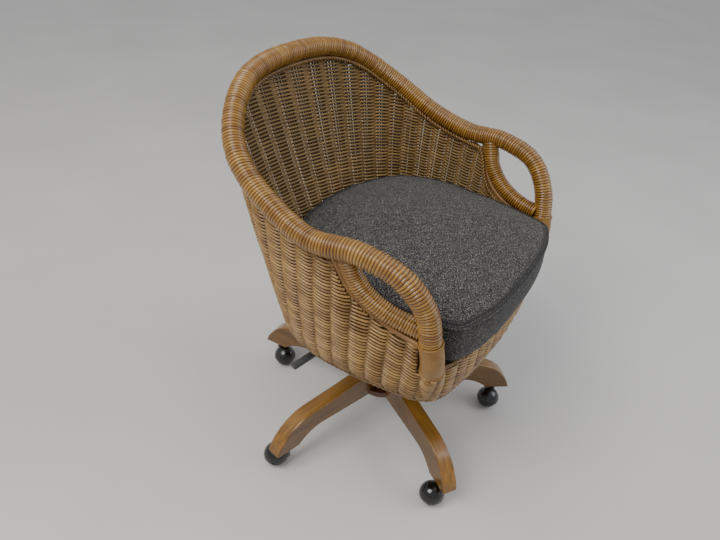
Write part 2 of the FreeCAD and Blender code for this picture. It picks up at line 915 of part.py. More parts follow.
def make_tilt_spring():
    """Coil of round wire on arcs of a quarter turn."""
    wire_radius = spring_wire * 0.5
    rise = (spring_length - spring_wire) / (4.0 * spring_turns)
    points = []
    for i in range(4 * spring_turns + 1):
        angle = math.pi * 0.5 * i
        points.append(vec(spring_radius * math.cos(angle), spring_radius * math.sin(angle) - bolt_forward,
                          spring_bottom() + wire_radius + rise * i))
    pitch = rise * 4.0
    around = 2.0 * math.pi * spring_radius
    slope = vec(0.0, around, pitch).normalize()
    edges = smooth_edges(points, False, (slope, slope))
    least_gap = pitch * math.cos(math.atan(pitch / around)) - spring_wire
    print("spring: least gap between turns", round(least_gap, 2))
    return pipe(edges, wire_radius)


def make_spring_cap():
    top = spring_bottom() - spring_gap
    return tube(cap_radius, tension_bolt_radius + running_fit, top - cap_thickness, top, 0.0, -bolt_forward)


def knob_top():
    return spring_bottom() - spring_gap - cap_thickness - knob_gap


def make_tension_bolt():
    shank = cylinder(tension_bolt_radius, knob_top() - knob_bore_depth, plate_bottom, 0.0, -bolt_forward)
    collar = cylinder(tension_collar_radius, plate_bottom - tension_collar_height, plate_bottom,
                      0.0, -bolt_forward)
    return shank.fuse(collar).removeSplitter()


def make_tension_knob():
    knob = cylinder(knob_radius, knob_top() - knob_height, knob_top())
    rims = [e for e in knob.Edges if e.BoundBox.ZLength < joint_fit]
    knob = knob.makeFillet(knob_edge_radius, rims)
    for i in range(knob_lobes):
        out = knob_radius + knob_lobe_radius * knob_lobe_share
        flute = cylinder(knob_lobe_radius, 0.0, plate_bottom, out)
        knob = knob.cut(turned(flute, 360.0 / knob_lobes * i))
    knob = moved(knob, 0.0, -bolt_forward, 0.0)
    return knob.cut(cylinder(tension_bolt_radius + running_fit, knob_top() - knob_bore_depth - knob_gap,
                             plate_bottom, 0.0, -bolt_forward))


# Height lever
def lever_points():
    inner = vec(lever_inner, 0.0, lever_height)
    elbow = vec(-lever_elbow_out, 0.0, lever_height)
    end = vec(-lever_end_out, lever_end_back, lever_end_height)
    return inner, elbow, end


def make_lever_rod():
    inner, elbow, end = lever_points()
    before = elbow + (inner - elbow).normalize() * lever_elbow_radius
    after = elbow + (end - elbow).normalize() * lever_elbow_radius
    stop = end - (end - elbow).normalize() * (grip_end_wall + grip_end_gap)
    edges = [Part.makeLine(inner, before), arc_edge(before, elbow, after), Part.makeLine(after, stop)]
    rod = pipe(edges, lever_radius)
    return rod.cut(y_cylinder(lever_pin_radius + running_fit, -lever_pivot_out, lever_height,
                              lever_pin_half_length))


def make_lever_pin():
    return y_cylinder(lever_pin_radius, -lever_pivot_out, lever_height, lever_slot_half_width + housing_wall)


def make_lever_grip():
    _, elbow, end = lever_points()
    run = end - elbow
    start = elbow + run * grip_start_share
    length = (end - start).Length
    corner = vec(0.0, -0.5 * grip_width, -0.5 * grip_thickness)
    grip = Part.makeBox(length, grip_width, grip_thickness, corner)
    grip = grip.makeFillet(grip_edge_radius, grip.Edges)
    rod_hole = Part.makeCylinder(lever_radius + joint_fit, length, vec(-grip_end_wall, 0.0, 0.0), X_AXIS)
    grip = grip.cut(rod_hole)
    heading = math.degrees(math.atan2(run.y, run.x))
    dip = math.degrees(math.atan2(run.z, math.hypot(run.x, run.y)))
    grip.rotate(ORIGIN, Y_AXIS, -dip)
    grip.rotate(ORIGIN, Z_AXIS, heading)
    grip.translate(start)
    return grip


# Casters, drawn with the stem on the origin and the wheels trailing along +X
def wheel_centre():
    return wheel_radius


def wheel_ball():
    """Radius of the ball that the tread's outer edge and the wheel's side both touch."""
    return math.hypot(wheel_gap + wheel_tread, wheel_radius)


def ball_spot(across):
    return vec(0.0, across, math.sqrt(wheel_ball() * wheel_ball() - across * across))


def wheel_ring(side):
    bore = axle_radius + joint_fit
    edge = wheel_gap + wheel_tread
    outline = [
        Part.makeLine(vec(0.0, wheel_gap, bore), vec(0.0, wheel_gap, wheel_radius)),
        Part.makeLine(vec(0.0, wheel_gap, wheel_radius), ball_spot(edge)),
        Part.Arc(ball_spot(edge), ball_spot(0.5 * (edge + wheel_outer)), ball_spot(wheel_outer)).toShape(),
        Part.makeLine(ball_spot(wheel_outer), vec(0.0, wheel_outer, bore)),
        Part.makeLine(vec(0.0, wheel_outer, bore), vec(0.0, wheel_gap, bore)),
    ]
    ring = Part.Face(Part.Wire(outline)).revolve(ORIGIN, Y_AXIS, 360.0)
    if side < 0:
        ring = ring.mirror(ORIGIN, Y_AXIS)
    return moved(ring, caster_trail, 0.0, wheel_centre())


def make_caster_wheels():
    return Part.makeCompound([wheel_ring(1), wheel_ring(-1)])


def make_caster_axle():
    half = wheel_outer - axle_inset
    axle = Part.makeCylinder(axle_radius, 2.0 * half, vec(0.0, -half, 0.0), Y_AXIS)
    return moved(axle, caster_trail, 0.0, wheel_centre())


def make_caster_hood():
    centre = vec(caster_trail, 0.0, wheel_centre())
    inner_radius = wheel_ball() + hood_gap
    outer_radius = inner_radius + hood_wall
    dome = Part.makeSphere(outer_radius, centre)
    dome = dome.common(box(-outer_radius, caster_trail + outer_radius, -outer_radius, outer_radius,
                           wheel_centre() - hood_skirt, wheel_centre() + outer_radius))
    boss = cylinder(boss_radius, wheel_centre() + hood_skirt, foot_height - socket_flange - boss_top_gap)
    web = Part.makeCylinder(web_radius, 2.0 * web_half, vec(caster_trail, -web_half, wheel_centre()), Y_AXIS)
    bridge = box(caster_trail - web_radius * bridge_share, caster_trail + web_radius * bridge_share,
                 -web_half, web_half, wheel_centre(), wheel_centre() + inner_radius + 0.5 * hood_wall)
    hood = dome.fuse(boss).cut(Part.makeSphere(inner_radius, centre)).fuse([web, bridge]).removeSplitter()
    hood = hood.cut(Part.makeCylinder(axle_radius + running_fit, 2.0 * outer_radius,
                                      vec(caster_trail, -outer_radius, wheel_centre()), Y_AXIS))
    return hood.cut(cylinder(stem_radius, stem_foot(), foot_height))


def stem_foot():
    return foot_height - socket_flange - boss_top_gap - stem_root


def make_caster_stem():
    stem = cylinder(stem_radius, stem_foot(), foot_height + stem_grip - overrun)
    collar = cylinder(stem_collar_radius, foot_height - socket_flange - boss_top_gap,
                      foot_height - socket_flange - stem_collar_gap)
    return stem.fuse(collar).removeSplitter()


def place_caster(shape, index):
    heading = turned(shape, caster_headings[index])
    angle = math.radians(LEG_ANGLES[index])
    return moved(heading, caster_radial * math.cos(angle), caster_radial * math.sin(angle), 0.0)


# Every node by name
def base_nodes():
    nodes = {"hub_core": make_hub_core(), "hub_disc": make_hub_disc(), "leg_bolts": make_leg_bolts(),
             "caster_sockets": make_caster_sockets()}
    leg = make_leg()
    for i, angle in enumerate(LEG_ANGLES):
        nodes["leg_%d" % (i + 1)] = turned(leg, angle)
    return nodes


def caster_nodes():
    makers = {"caster_stem": make_caster_stem(), "caster_hood": make_caster_hood(),
              "caster_axle": make_caster_axle(), "caster_wheels": make_caster_wheels()}
    return {"%s_%d" % (name, i + 1): place_caster(shape, i)
            for name, shape in makers.items() for i in range(leg_count)}


def column_nodes():
    return {"column_tube": make_column_tube(), "column_bushing": make_column_bushing(),
            "thrust_bearing": make_thrust_bearing(), "piston_rod": make_piston_rod(),
            "gas_cylinder": make_gas_cylinder(), "valve_button": make_valve_button()}


def mechanism_nodes():
    return {"mechanism_housing": make_housing(), "tilt_plate": make_tilt_plate(), "tilt_pin": make_tilt_pin(),
            "tilt_spring": make_tilt_spring(), "spring_cap": make_spring_cap(),
            "tension_bolt": make_tension_bolt(), "tension_knob": make_tension_knob(),
            "lever_rod": make_lever_rod(), "lever_pin": make_lever_pin(), "lever_grip": make_lever_grip()}


def seat_nodes():
    rail_room = rail_shadow()
    pole_room = pole_shadow()
    sheath_room = pipe(sheath_edges(), rail_radius + sheath_gap + sheath_thickness + wall_gap)
    edging_room = pipe(smooth_edges(EDGING_POINTS), edging_radius + wall_gap)
    one_side = [pole_room, sheath_room, edging_room]
    room = [rail_room] + one_side + [mirrored(shape) for shape in one_side]
    pole = make_loop_pole([rail_room, sheath_room])
    edging = make_edging([rail_room, sheath_room, pole_room])
    sheath = make_post_sheath()
    return {"top_rail": make_top_rail(), "loop_pole_right": pole, "loop_pole_left": mirrored(pole),
            "edging_right": edging, "edging_left": mirrored(edging),
            "post_sheaths": Part.makeCompound([sheath, mirrored(sheath)]),
            "woven_wall": make_woven_wall(room), "front_apron": make_front_apron(),
            "rim_braid": make_rim_braid(room), "bottom_border": make_bottom_border(),
            "seat_ring": make_seat_ring(), "seat_board": make_seat_board(),
            "seat_battens": make_seat_battens(), "plate_screws": make_plate_screws(),
            "cushion": make_cushion()}


def main():
    os.makedirs("parts", exist_ok=True)
    nodes = {}
    for group in (base_nodes, caster_nodes, column_nodes, mechanism_nodes, seat_nodes):
        nodes.update(group())
    for name, shape in sorted(nodes.items()):
        shape.exportStep("parts/%s.step" % name)
        state = "valid" if shape.isValid() else "BAD"
        print(name, len(shape.Solids), "solids", round(shape.Volume), "mm3", state)


main()
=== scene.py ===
import json
import logging
import math
from dataclasses import dataclass, field
from enum import Enum
from typing import Callable, Dict, List, Optional, Sequence, Tuple, Union

import bmesh
import bpy
import numpy as np
from mathutils import Matrix, Vector
from mathutils.bvhtree import BVHTree

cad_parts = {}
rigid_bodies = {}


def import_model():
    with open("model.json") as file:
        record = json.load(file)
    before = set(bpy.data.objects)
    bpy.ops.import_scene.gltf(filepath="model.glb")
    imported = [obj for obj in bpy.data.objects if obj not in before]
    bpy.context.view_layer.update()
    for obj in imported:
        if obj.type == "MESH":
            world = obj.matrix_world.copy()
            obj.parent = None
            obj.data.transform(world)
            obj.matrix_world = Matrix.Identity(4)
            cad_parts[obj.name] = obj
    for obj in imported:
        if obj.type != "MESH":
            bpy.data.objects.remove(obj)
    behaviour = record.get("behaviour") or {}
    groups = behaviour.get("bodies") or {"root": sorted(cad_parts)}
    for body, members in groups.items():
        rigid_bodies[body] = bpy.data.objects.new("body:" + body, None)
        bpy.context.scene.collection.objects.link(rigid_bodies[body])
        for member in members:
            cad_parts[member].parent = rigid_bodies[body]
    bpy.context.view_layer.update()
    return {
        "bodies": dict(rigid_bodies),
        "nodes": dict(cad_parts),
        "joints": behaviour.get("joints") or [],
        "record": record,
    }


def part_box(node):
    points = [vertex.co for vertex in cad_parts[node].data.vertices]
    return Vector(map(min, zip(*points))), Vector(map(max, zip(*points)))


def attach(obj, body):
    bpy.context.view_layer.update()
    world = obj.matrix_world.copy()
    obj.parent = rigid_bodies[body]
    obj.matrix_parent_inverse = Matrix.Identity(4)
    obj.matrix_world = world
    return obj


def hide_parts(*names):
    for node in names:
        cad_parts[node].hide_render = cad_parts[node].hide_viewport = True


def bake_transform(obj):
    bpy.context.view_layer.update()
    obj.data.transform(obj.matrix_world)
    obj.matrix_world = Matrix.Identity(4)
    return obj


LOG = logging.getLogger("barrel_chair")
Colour = Tuple[float, float, float]
Point = Tuple[float, float, float]
Socket = bpy.types.NodeSocket

MM = 0.001
TAU = 2.0 * math.pi
UP = np.array([0.0, 0.0, 1.0])
NODE_STEP = 40.0
RAY_START = 0.5
LEAST_RADIUS = 0.12
WELD = 1e-5
TINY = 1e-9


def srgb(red: int, green: int, blue: int) -> Colour:
    """Linear colour of an eight bit display colour.

    Args:
        red, green, blue: display values from 0 to 255.

    Returns:
        The same colour in linear light.
    """
    def linear(value: int) -> float:
        """One channel in linear light."""
        part = value / 255.0
        return part / 12.92 if part <= 0.04045 else ((part + 0.055) / 1.055) ** 2.4
    return linear(red), linear(green), linear(blue)


# Node graphs
class Graph:
    """A node tree with short ways to add nodes, link them and do sums."""

    def __init__(self, tree: bpy.types.NodeTree) -> None:
        """Wraps a node tree."""
        self.tree = tree
        self.count = 0

    def node(self, kind: str, **settings: object) -> bpy.types.Node:
        """Adds a node to the right of the last one.

        Args:
            kind: the node's type name.
            settings: properties to set on it.

        Returns:
            The new node.
        """
        made = self.tree.nodes.new(kind)
        self.count += 1
        made.location = (self.count * NODE_STEP, 0.0)
        for name, value in settings.items():
            setattr(made, name, value)
        return made

    def feed(self, socket: Socket, value: object) -> None:
        """Links a socket to a node's output, or sets it to a plain value.

        Args:
            socket: the input to feed.
            value: an output socket, or a value.
        """
        if isinstance(value, Socket):
            self.tree.links.new(value, socket)
        else:
            socket.default_value = value

    def math(self, operation: str, *values: object) -> Socket:
        """Sum of numbers by a Math node.

        Args:
            operation: the node's operation.
            values: numbers or sockets, in the node's order.

        Returns:
            The result.
        """
        made = self.node("ShaderNodeMath", operation=operation)
        for socket, value in zip(made.inputs, values):
            self.feed(socket, value)
        return made.outputs[0]

    def vector(self, operation: str, first: object, second: object = None, scale: object = None) -> Socket:
        """Sum of vectors by a Vector Math node.

        Args:
            operation: the node's operation.
            first, second: vectors or sockets.
            scale: the factor where the operation is SCALE.

        Returns:
            The resulting vector.
        """
        made = self.node("ShaderNodeVectorMath", operation=operation)
        for name, value in ((0, first), (1, second), ("Scale", scale)):
            if value is not None:
                self.feed(made.inputs[name], value)
        return made.outputs[0]

    def split(self, vector: Socket) -> Tuple[Socket, Socket, Socket]:
        """The three numbers of a vector."""
        made = self.node("ShaderNodeSeparateXYZ")
        self.feed(made.inputs[0], vector)
        return tuple(made.outputs)

    def mix(self, share: object, first: object, second: object) -> Socket:
        """Mix of two colours.

        Args:
            share: how much of the second colour there is.
            first, second: colours or sockets.

        Returns:
            The mixed colour.
        """
        made = self.node("ShaderNodeMix", data_type="RGBA")
        self.feed(made.inputs[0], share)
        for number, colour in ((6, first), (7, second)):
            self.feed(made.inputs[number], colour if isinstance(colour, Socket) else (*colour, 1.0))
        return made.outputs[2]

    def span(self, value: object, low: float, high: float, start: float = 0.0, end: float = 1.0) -> Socket:
        """Maps a value from one span to another and keeps it inside.

        Args:
            value: the number to map.
            low, high: the span that it comes from.
            start, end: the span that it goes to.

        Returns:
            The mapped number.
        """
        made = self.node("ShaderNodeMapRange", clamp=True)
        for socket, given in zip(made.inputs, (value, low, high, start, end)):
            self.feed(socket, given)
        return made.outputs[0]

    def noise(self, place: object, detail: object, scale: object = 1.0, **settings: float) -> Socket:
        """Noise over a place.

        Args:
            place: the coordinates.
            detail: how many finer layers it has.
            scale: how fine the broadest layer is.
            settings: other inputs of the noise node by name.

        Returns:
            The noise's value.
        """
        made = self.node("ShaderNodeTexNoise")
        for name, value in {"Vector": place, "Scale": scale, "Detail": detail, **settings}.items():
            self.feed(made.inputs[name], value)
        return made.outputs[0]


class GroupGraph(Graph):
    """The graph of a node group with named inputs and outputs."""

    def __init__(self, name: str, kind: str, inputs: Dict[str, object], outputs: Dict[str, str]) -> None:
        """Makes the group and its sockets.

        Args:
            name: the group's name.
            kind: the tree's type name.
            inputs: the default number of each input, or its kind where it has none.
            outputs: the kind of each output.
        """
        super().__init__(bpy.data.node_groups.new(name, kind))
        for label, given in inputs.items():
            if isinstance(given, float):
                self.socket(label, "INPUT", "Float").default_value = given
            else:
                self.socket(label, "INPUT", given)
        for label, given in outputs.items():
            self.socket(label, "OUTPUT", given)
        self.source = self.node("NodeGroupInput")
        self.sink = self.node("NodeGroupOutput")

    def socket(self, label: str, side: str, kind: str) -> bpy.types.NodeTreeInterfaceSocket:
        """Adds a named input or output."""
        return self.tree.interface.new_socket(name=label, in_out=side, socket_type="NodeSocket" + kind)

    def given(self, name: str) -> Socket:
        """A named input of the group."""
        return self.source.outputs[name]

    def give(self, name: str, value: Socket) -> None:
        """Feeds a named output of the group."""
        self.feed(self.sink.inputs[name], value)


# Shader groups that more than one finish uses
class Effect(Enum):
    """The shared shader effects, by the names of their groups."""

    GRAIN = "fibre_grain"
    BLOTCH = "slow_blotch"
    FLECK = "tweed_fleck"


class ShaderGroups:
    """Builds each shared shader effect once and hands it out."""

    def __init__(self) -> None:
        """Starts with no groups built."""
        self.made: Dict[Effect, bpy.types.NodeTree] = {}

    def get(self, effect: Effect) -> bpy.types.NodeTree:
        """The group of an effect, built on first use.

        Args:
            effect: which effect.

        Returns:
            Its node group.
        """
        if effect not in self.made:
            makers = {Effect.GRAIN: self.grain, Effect.BLOTCH: self.blotch, Effect.FLECK: self.fleck}
            self.made[effect] = makers[effect]()
        return self.made[effect]

    @staticmethod
    def start(effect: Effect, inputs: Dict[str, object], *outputs: str) -> GroupGraph:
        """An empty group that puts out numbers.

        Args:
            effect: which effect.
            inputs: its inputs besides Place.
            outputs: the names of its outputs.

        Returns:
            The group's graph.
        """
        kinds = dict.fromkeys(outputs, "Float")
        return GroupGraph(effect.value, "ShaderNodeTree", {"Place": "Vector", **inputs}, kinds)

    def grain(self) -> bpy.types.NodeTree:
        """Long fibres along one axis of the coordinates.

        Returns:
            The group, with outputs Fibre and Pore.
        """
        g = self.start(Effect.GRAIN, {"Stretch": "Vector", "Detail": 3.0}, "Fibre", "Pore")
        place = g.vector("MULTIPLY", g.given("Place"), g.given("Stretch"))
        broad = g.noise(place, g.given("Detail"), Distortion=0.6)
        fine = g.noise(g.vector("SCALE", place, scale=4.0), 4.0)
        g.give("Fibre", g.span(broad, 0.3, 0.7))
        g.give("Pore", g.span(fine, 0.58, 0.72))
        return g.tree

    def blotch(self) -> bpy.types.NodeTree:
        """Slow uneven stain or dust over a piece.

        Returns:
            The group, with the output Blotch.
        """
        g = self.start(Effect.BLOTCH, {"Scale": 10.0}, "Blotch")
        g.give("Blotch", g.span(g.noise(g.given("Place"), 3.0, g.given("Scale")), 0.35, 0.65))
        return g.tree

    def fleck(self) -> bpy.types.NodeTree:
        """Short light and dark threads of a tweed, crossed at right angles.

        Returns:
            The group, with outputs Light, Tone and Thread.
        """
        g = self.start(Effect.FLECK, {"Pitch": 600.0}, "Light", "Tone", "Thread")
        scaled = g.vector("SCALE", g.given("Place"), scale=g.given("Pitch"))
        streaks = [g.noise(g.vector("MULTIPLY", scaled, stretch), 1.5, Roughness=0.6)
                   for stretch in ((0.42, 1.0, 1.0), (1.0, 0.42, 1.0))]
        wide = g.noise(g.vector("MULTIPLY", scaled, (0.05, 0.16, 0.16)), 2.0)
        waves = [g.math("SINE", g.math("MULTIPLY", part, 1.9)) for part in g.split(scaled)[:2]]
        g.give("Light", g.span(g.math("MAXIMUM", *streaks), 0.60, 0.68))
        g.give("Tone", g.span(wide, 0.35, 0.65))
        g.give("Thread", g.span(g.math("MULTIPLY", *waves), -1.0, 1.0))
        return g.tree


GROUPS = ShaderGroups()


class Surface:
    """A material in the making: its graph, its Principled node and its coordinates."""

    def __init__(self, name: str) -> None:
        """Makes an empty material with a Principled BSDF.

        Args:
            name: the material's name.
        """
        self.material = bpy.data.materials.new(name)
        self.material.use_nodes = True
        tree = self.material.node_tree
        self.graph = Graph(tree)
        self.shader = next(n for n in tree.nodes if n.type == "BSDF_PRINCIPLED")
        coordinates = self.graph.node("ShaderNodeTexCoord")
        self.place = coordinates.outputs["Object"]
        self.normal = coordinates.outputs["Normal"]

    def group(self, effect: Effect, **values: object) -> bpy.types.bpy_prop_collection:
        """Places a shared group.

        Args:
            effect: which effect.
            values: its inputs by name; its place is the object's unless given.

        Returns:
            The outputs of the placed group.
        """
        made = self.graph.node("ShaderNodeGroup", node_tree=GROUPS.get(effect))
        for name, value in {"Place": self.place, **values}.items():
            self.graph.feed(made.inputs[name], value)
        return made.outputs

    def blotch(self, scale: float) -> Socket:
        """Slow stain at a scale."""
        return self.group(Effect.BLOTCH, Scale=scale)["Blotch"]

    def turned(self, angles: Point) -> Socket:
        """The object's coordinates, turned.

        Args:
            angles: the turn about each axis in radians.

        Returns:
            The turned coordinates.
        """
        made = self.graph.node("ShaderNodeMapping")
        self.graph.feed(made.inputs["Vector"], self.place)
        self.graph.feed(made.inputs["Rotation"], angles)
        return made.outputs[0]

    def attribute(self, name: str) -> Socket:
        """A named value that the mesh carries."""
        return self.graph.node("ShaderNodeAttribute", attribute_name=name).outputs["Fac"]

    def bump(self, height: Socket, strength: float, depth: float) -> None:
        """Raises the surface.

        Args:
            height: where it is raised, from 0 to 1.
            strength: how much the shading shows of it.
            depth: the highest rise in metres.
        """
        made = self.graph.node("ShaderNodeBump")
        for name, value in (("Strength", strength), ("Distance", depth), ("Height", height)):
            self.graph.feed(made.inputs[name], value)
        self.set(Normal=made.outputs[0])

    def set(self, **values: object) -> None:
        """Sets or links inputs of the Principled node, named with underscores for spaces."""
        for key, value in values.items():
            self.graph.feed(self.shader.inputs[key.replace("_", " ")], value)


# Finishes
@dataclass(frozen=True)
class CaneFinish:
    """Lacquered cane or round core, golden outside and dull where dust lies, with painted shade in the depth
    of a weave and in the grooves between wraps where asked.
    """

    light: Colour
    dark: Colour
    roughness: float = 0.32
    coat: float = 0.35
    # Colour of the painted shade in the grooves between wraps and in the depth of the weave.
    painted_shade_colour: Colour = srgb(54, 30, 9)
    dull: Colour = srgb(112, 92, 54)
    toned: bool = False
    sided: bool = False
    painted_groove_shade: bool = False
    stain_scale: float = 26.0
    dust_scale: float = 5.0
    fibre_scale: float = 420.0
    painted_depth_shade: float = 0.42
    inside_roughness: float = 0.32
    coat_roughness: float = 0.18
    relief: float = 0.4 * MM

    def build(self, name: str) -> bpy.types.Material:
        """Makes the material.

        Args:
            name: the material's name.

        Returns:
            The material.
        """
        s = Surface(name)
        g = s.graph
        stain = s.blotch(self.stain_scale)
        wide = s.blotch(self.dust_scale)
        fibre = s.group(Effect.GRAIN, Stretch=(self.fibre_scale,) * 3)["Fibre"]
        share = g.math("MULTIPLY_ADD", stain, 0.45, g.math("MULTIPLY", fibre, 0.25))
        if self.toned:
            share = g.math("MULTIPLY_ADD", s.attribute("tone"), 0.55, g.math("MULTIPLY", share, 0.75))
        colour = g.mix(share, self.light, self.dark)
        rough = g.span(wide, 0.0, 1.0, self.roughness - 0.05, self.roughness + 0.10)
        coat: object = self.coat
        if self.sided:
            side = s.attribute("side")
            # Painted shade: strands turn towards the painted shade colour where they dip into the middle of
            # the wall, between the rows and the stakes.
            edge = g.span(g.math("ABSOLUTE", side), 0.0, 0.6, self.painted_depth_shade, 0.0)
            colour = g.mix(edge, colour, self.painted_shade_colour)
            inside = g.span(side, -0.60, 0.0, 1.0, 0.0)
            dusty = g.math("MULTIPLY", inside, g.span(wide, 0.0, 1.0, 0.45, 0.85))
            colour = g.mix(dusty, colour, self.dull)
            rough = g.math("MULTIPLY_ADD", inside, self.inside_roughness, rough)
            coat = g.math("MULTIPLY", g.math("SUBTRACT", 1.0, inside), self.coat)
        if self.painted_groove_shade:
            # Painted shade: the sunk edges between wraps turn towards the painted shade colour.
            colour = g.mix(g.span(s.attribute("crown"), 0.20, 0.95, 1.0, 0.0), colour, self.painted_shade_colour)
        s.set(Base_Color=colour, Roughness=rough, Coat_Weight=coat, Coat_Roughness=self.coat_roughness)
        s.bump(fibre, 0.12, self.relief)
        return s.material


@dataclass(frozen=True)
class WoodFinish:
    """Stained and lacquered wood with its grain along one axis, with painted shade on its upright sides
    where asked.
    """

    light: Colour
    dark: Colour
    stretch: Point
    roughness: float = 0.65
    coat: float = 0.0
    turn: float = 0.0
    painted_side_shade: float = 0.0
    stain_scale: float = 9.0
    coat_roughness: float = 0.12
    relief: float = 0.5 * MM

    def build(self, name: str) -> bpy.types.Material:
        """Makes the material.

        Args:
            name: the material's name.

        Returns:
            The material.
        """
        s = Surface(name)
        g = s.graph
        grain = s.group(Effect.GRAIN, Place=s.turned((0.0, 0.0, self.turn)), Stretch=self.stretch)
        stain = s.blotch(self.stain_scale)
        share = g.math("MULTIPLY_ADD", grain["Fibre"], 0.65, g.math("MULTIPLY", stain, 0.35))
        colour = g.mix(share, self.light, self.dark)
        colour = g.mix(g.math("MULTIPLY", grain["Pore"], 0.35), colour, self.dark)
        # Painted shade: upright faces turn darker than level ones, as on the shaded sides of the legs.
        if self.painted_side_shade:
            level = g.math("ABSOLUTE", g.split(s.normal)[2])
            upright = g.span(level, 0.20, 0.60, self.painted_side_shade, 0.0)
            colour = g.mix(upright, colour, tuple(0.5 * part for part in self.dark))
        rough = g.span(stain, 0.0, 1.0, self.roughness - 0.05, self.roughness + 0.08)
        s.set(Base_Color=colour, Roughness=rough, Coat_Weight=self.coat, Coat_Roughness=self.coat_roughness)
        s.bump(grain["Fibre"], 0.08, self.relief)
        return s.material


@dataclass(frozen=True)
class MetalFinish:
    """Plated or powder-coated steel."""

    colour: Colour
    metallic: float
    roughness: float
    speckle: float = 0.15
    fine_scale: float = 900.0
    wide_scale: float = 30.0
    relief: float = 0.2 * MM

    def build(self, name: str) -> bpy.types.Material:
        """Makes the material.

        Args:
            name: the material's name.

        Returns:
            The material.
        """
        s = Surface(name)
        g = s.graph
        fine = s.blotch(self.fine_scale)
        wide = s.blotch(self.wide_scale)
        tint = tuple(min(1.0, part * 1.6 + 0.01) for part in self.colour)
        colour = g.mix(g.math("MULTIPLY", wide, self.speckle * 2.0), self.colour, tint)
        rough = g.span(wide, 0.0, 1.0, self.roughness - 0.06, self.roughness + 0.08)
        s.set(Base_Color=colour, Metallic=self.metallic, Roughness=rough)
        s.bump(fine, self.speckle, self.relief)
        return s.material


@dataclass(frozen=True)
class PlasticFinish:
    """Moulded plastic with fine scuffs and dust."""

    colour: Colour
    dust: Colour
    roughness: float
    coat: float = 0.0
    wide_scale: float = 38.0
    fine_scale: float = 700.0
    coat_roughness: float = 0.08
    relief: float = 0.2 * MM

    def build(self, name: str) -> bpy.types.Material:
        """Makes the material.

        Args:
            name: the material's name.

        Returns:
            The material.
        """
        s = Surface(name)
        g = s.graph
        wide = s.blotch(self.wide_scale)
        fine = s.blotch(self.fine_scale)
        colour = g.mix(g.math("MULTIPLY", wide, 0.35), self.colour, self.dust)
        rough = g.span(wide, 0.0, 1.0, self.roughness - 0.05, self.roughness + 0.12)
        s.set(Base_Color=colour, Roughness=rough, Coat_Weight=self.coat, Coat_Roughness=self.coat_roughness)
        s.bump(fine, 0.06, self.relief)
        return s.material


@dataclass(frozen=True)
class TweedFinish:
    """Charcoal tweed with short pale threads, with painted shade beside its seam and on the boxing below."""

    dark: Colour
    middle: Colour
    pale: Colour
    pitch: float = 760.0
    turn: Point = (0.35, 0.25, 0.5)
    seam: float = 0.515
    crease: float = 6.8 * MM
    relief: float = 1.2 * MM

    def build(self, name: str) -> bpy.types.Material:
        """Makes the material.

        Args:
            name: the material's name.

        Returns:
            The material.
        """
        s = Surface(name)
        g = s.graph
        fleck = s.group(Effect.FLECK, Place=s.turned(self.turn), Pitch=self.pitch)
        ground = g.mix(fleck["Tone"], self.dark, self.middle)
        colour = g.mix(g.math("MULTIPLY", fleck["Light"], 0.85), ground, self.pale)
        # Painted shade: a dark band in the crease along the seam, and the boxing below the seam darkened.
        over = g.math("SUBTRACT", g.split(s.place)[2], self.seam)
        apart = g.math("ABSOLUTE", over)
        crease = g.math("MULTIPLY", g.span(apart, 0.5 * self.crease, self.crease, 1.0, 0.0),
                        g.span(apart, 0.2 * self.crease, 0.4 * self.crease))
        boxing = g.span(over, -self.crease, 0.0, 0.30, 0.0)
        shade = g.math("MAXIMUM", g.math("MULTIPLY", crease, 0.85), boxing)
        colour = g.mix(shade, colour, self.dark)
        s.set(Base_Color=colour, Roughness=0.95, Sheen_Weight=0.08, Sheen_Roughness=0.5)
        height = g.math("MULTIPLY_ADD", fleck["Light"], 0.6, g.math("MULTIPLY", fleck["Thread"], 0.4))
        s.bump(height, 0.55, self.relief)
        return s.material


Finish = Union[CaneFinish, WoodFinish, MetalFinish, PlasticFinish, TweedFinish]


class Part(Enum):
    """The kinds of piece, by the names of their materials."""

    WRAP = "cane_wrap"
    WEAVE = "weave"
    STAKE = "stake"
    BRAID = "braid"
    EDGING = "edging_cane"
    SHEATH = "sheath_cane"
    BORDER = "border_cane"
    POLE = "core_pole"
    PLY = "plywood"
    BATTEN = "batten_wood"
    HUB = "hub_wood"
    STEEL = "steel"
    BLACK = "black_metal"
    PLASTIC = "dark_plastic"
    GRIP = "grip_plastic"
    CASTER = "caster_plastic"
    WHEEL = "wheel_plastic"
    TWEED = "tweed"


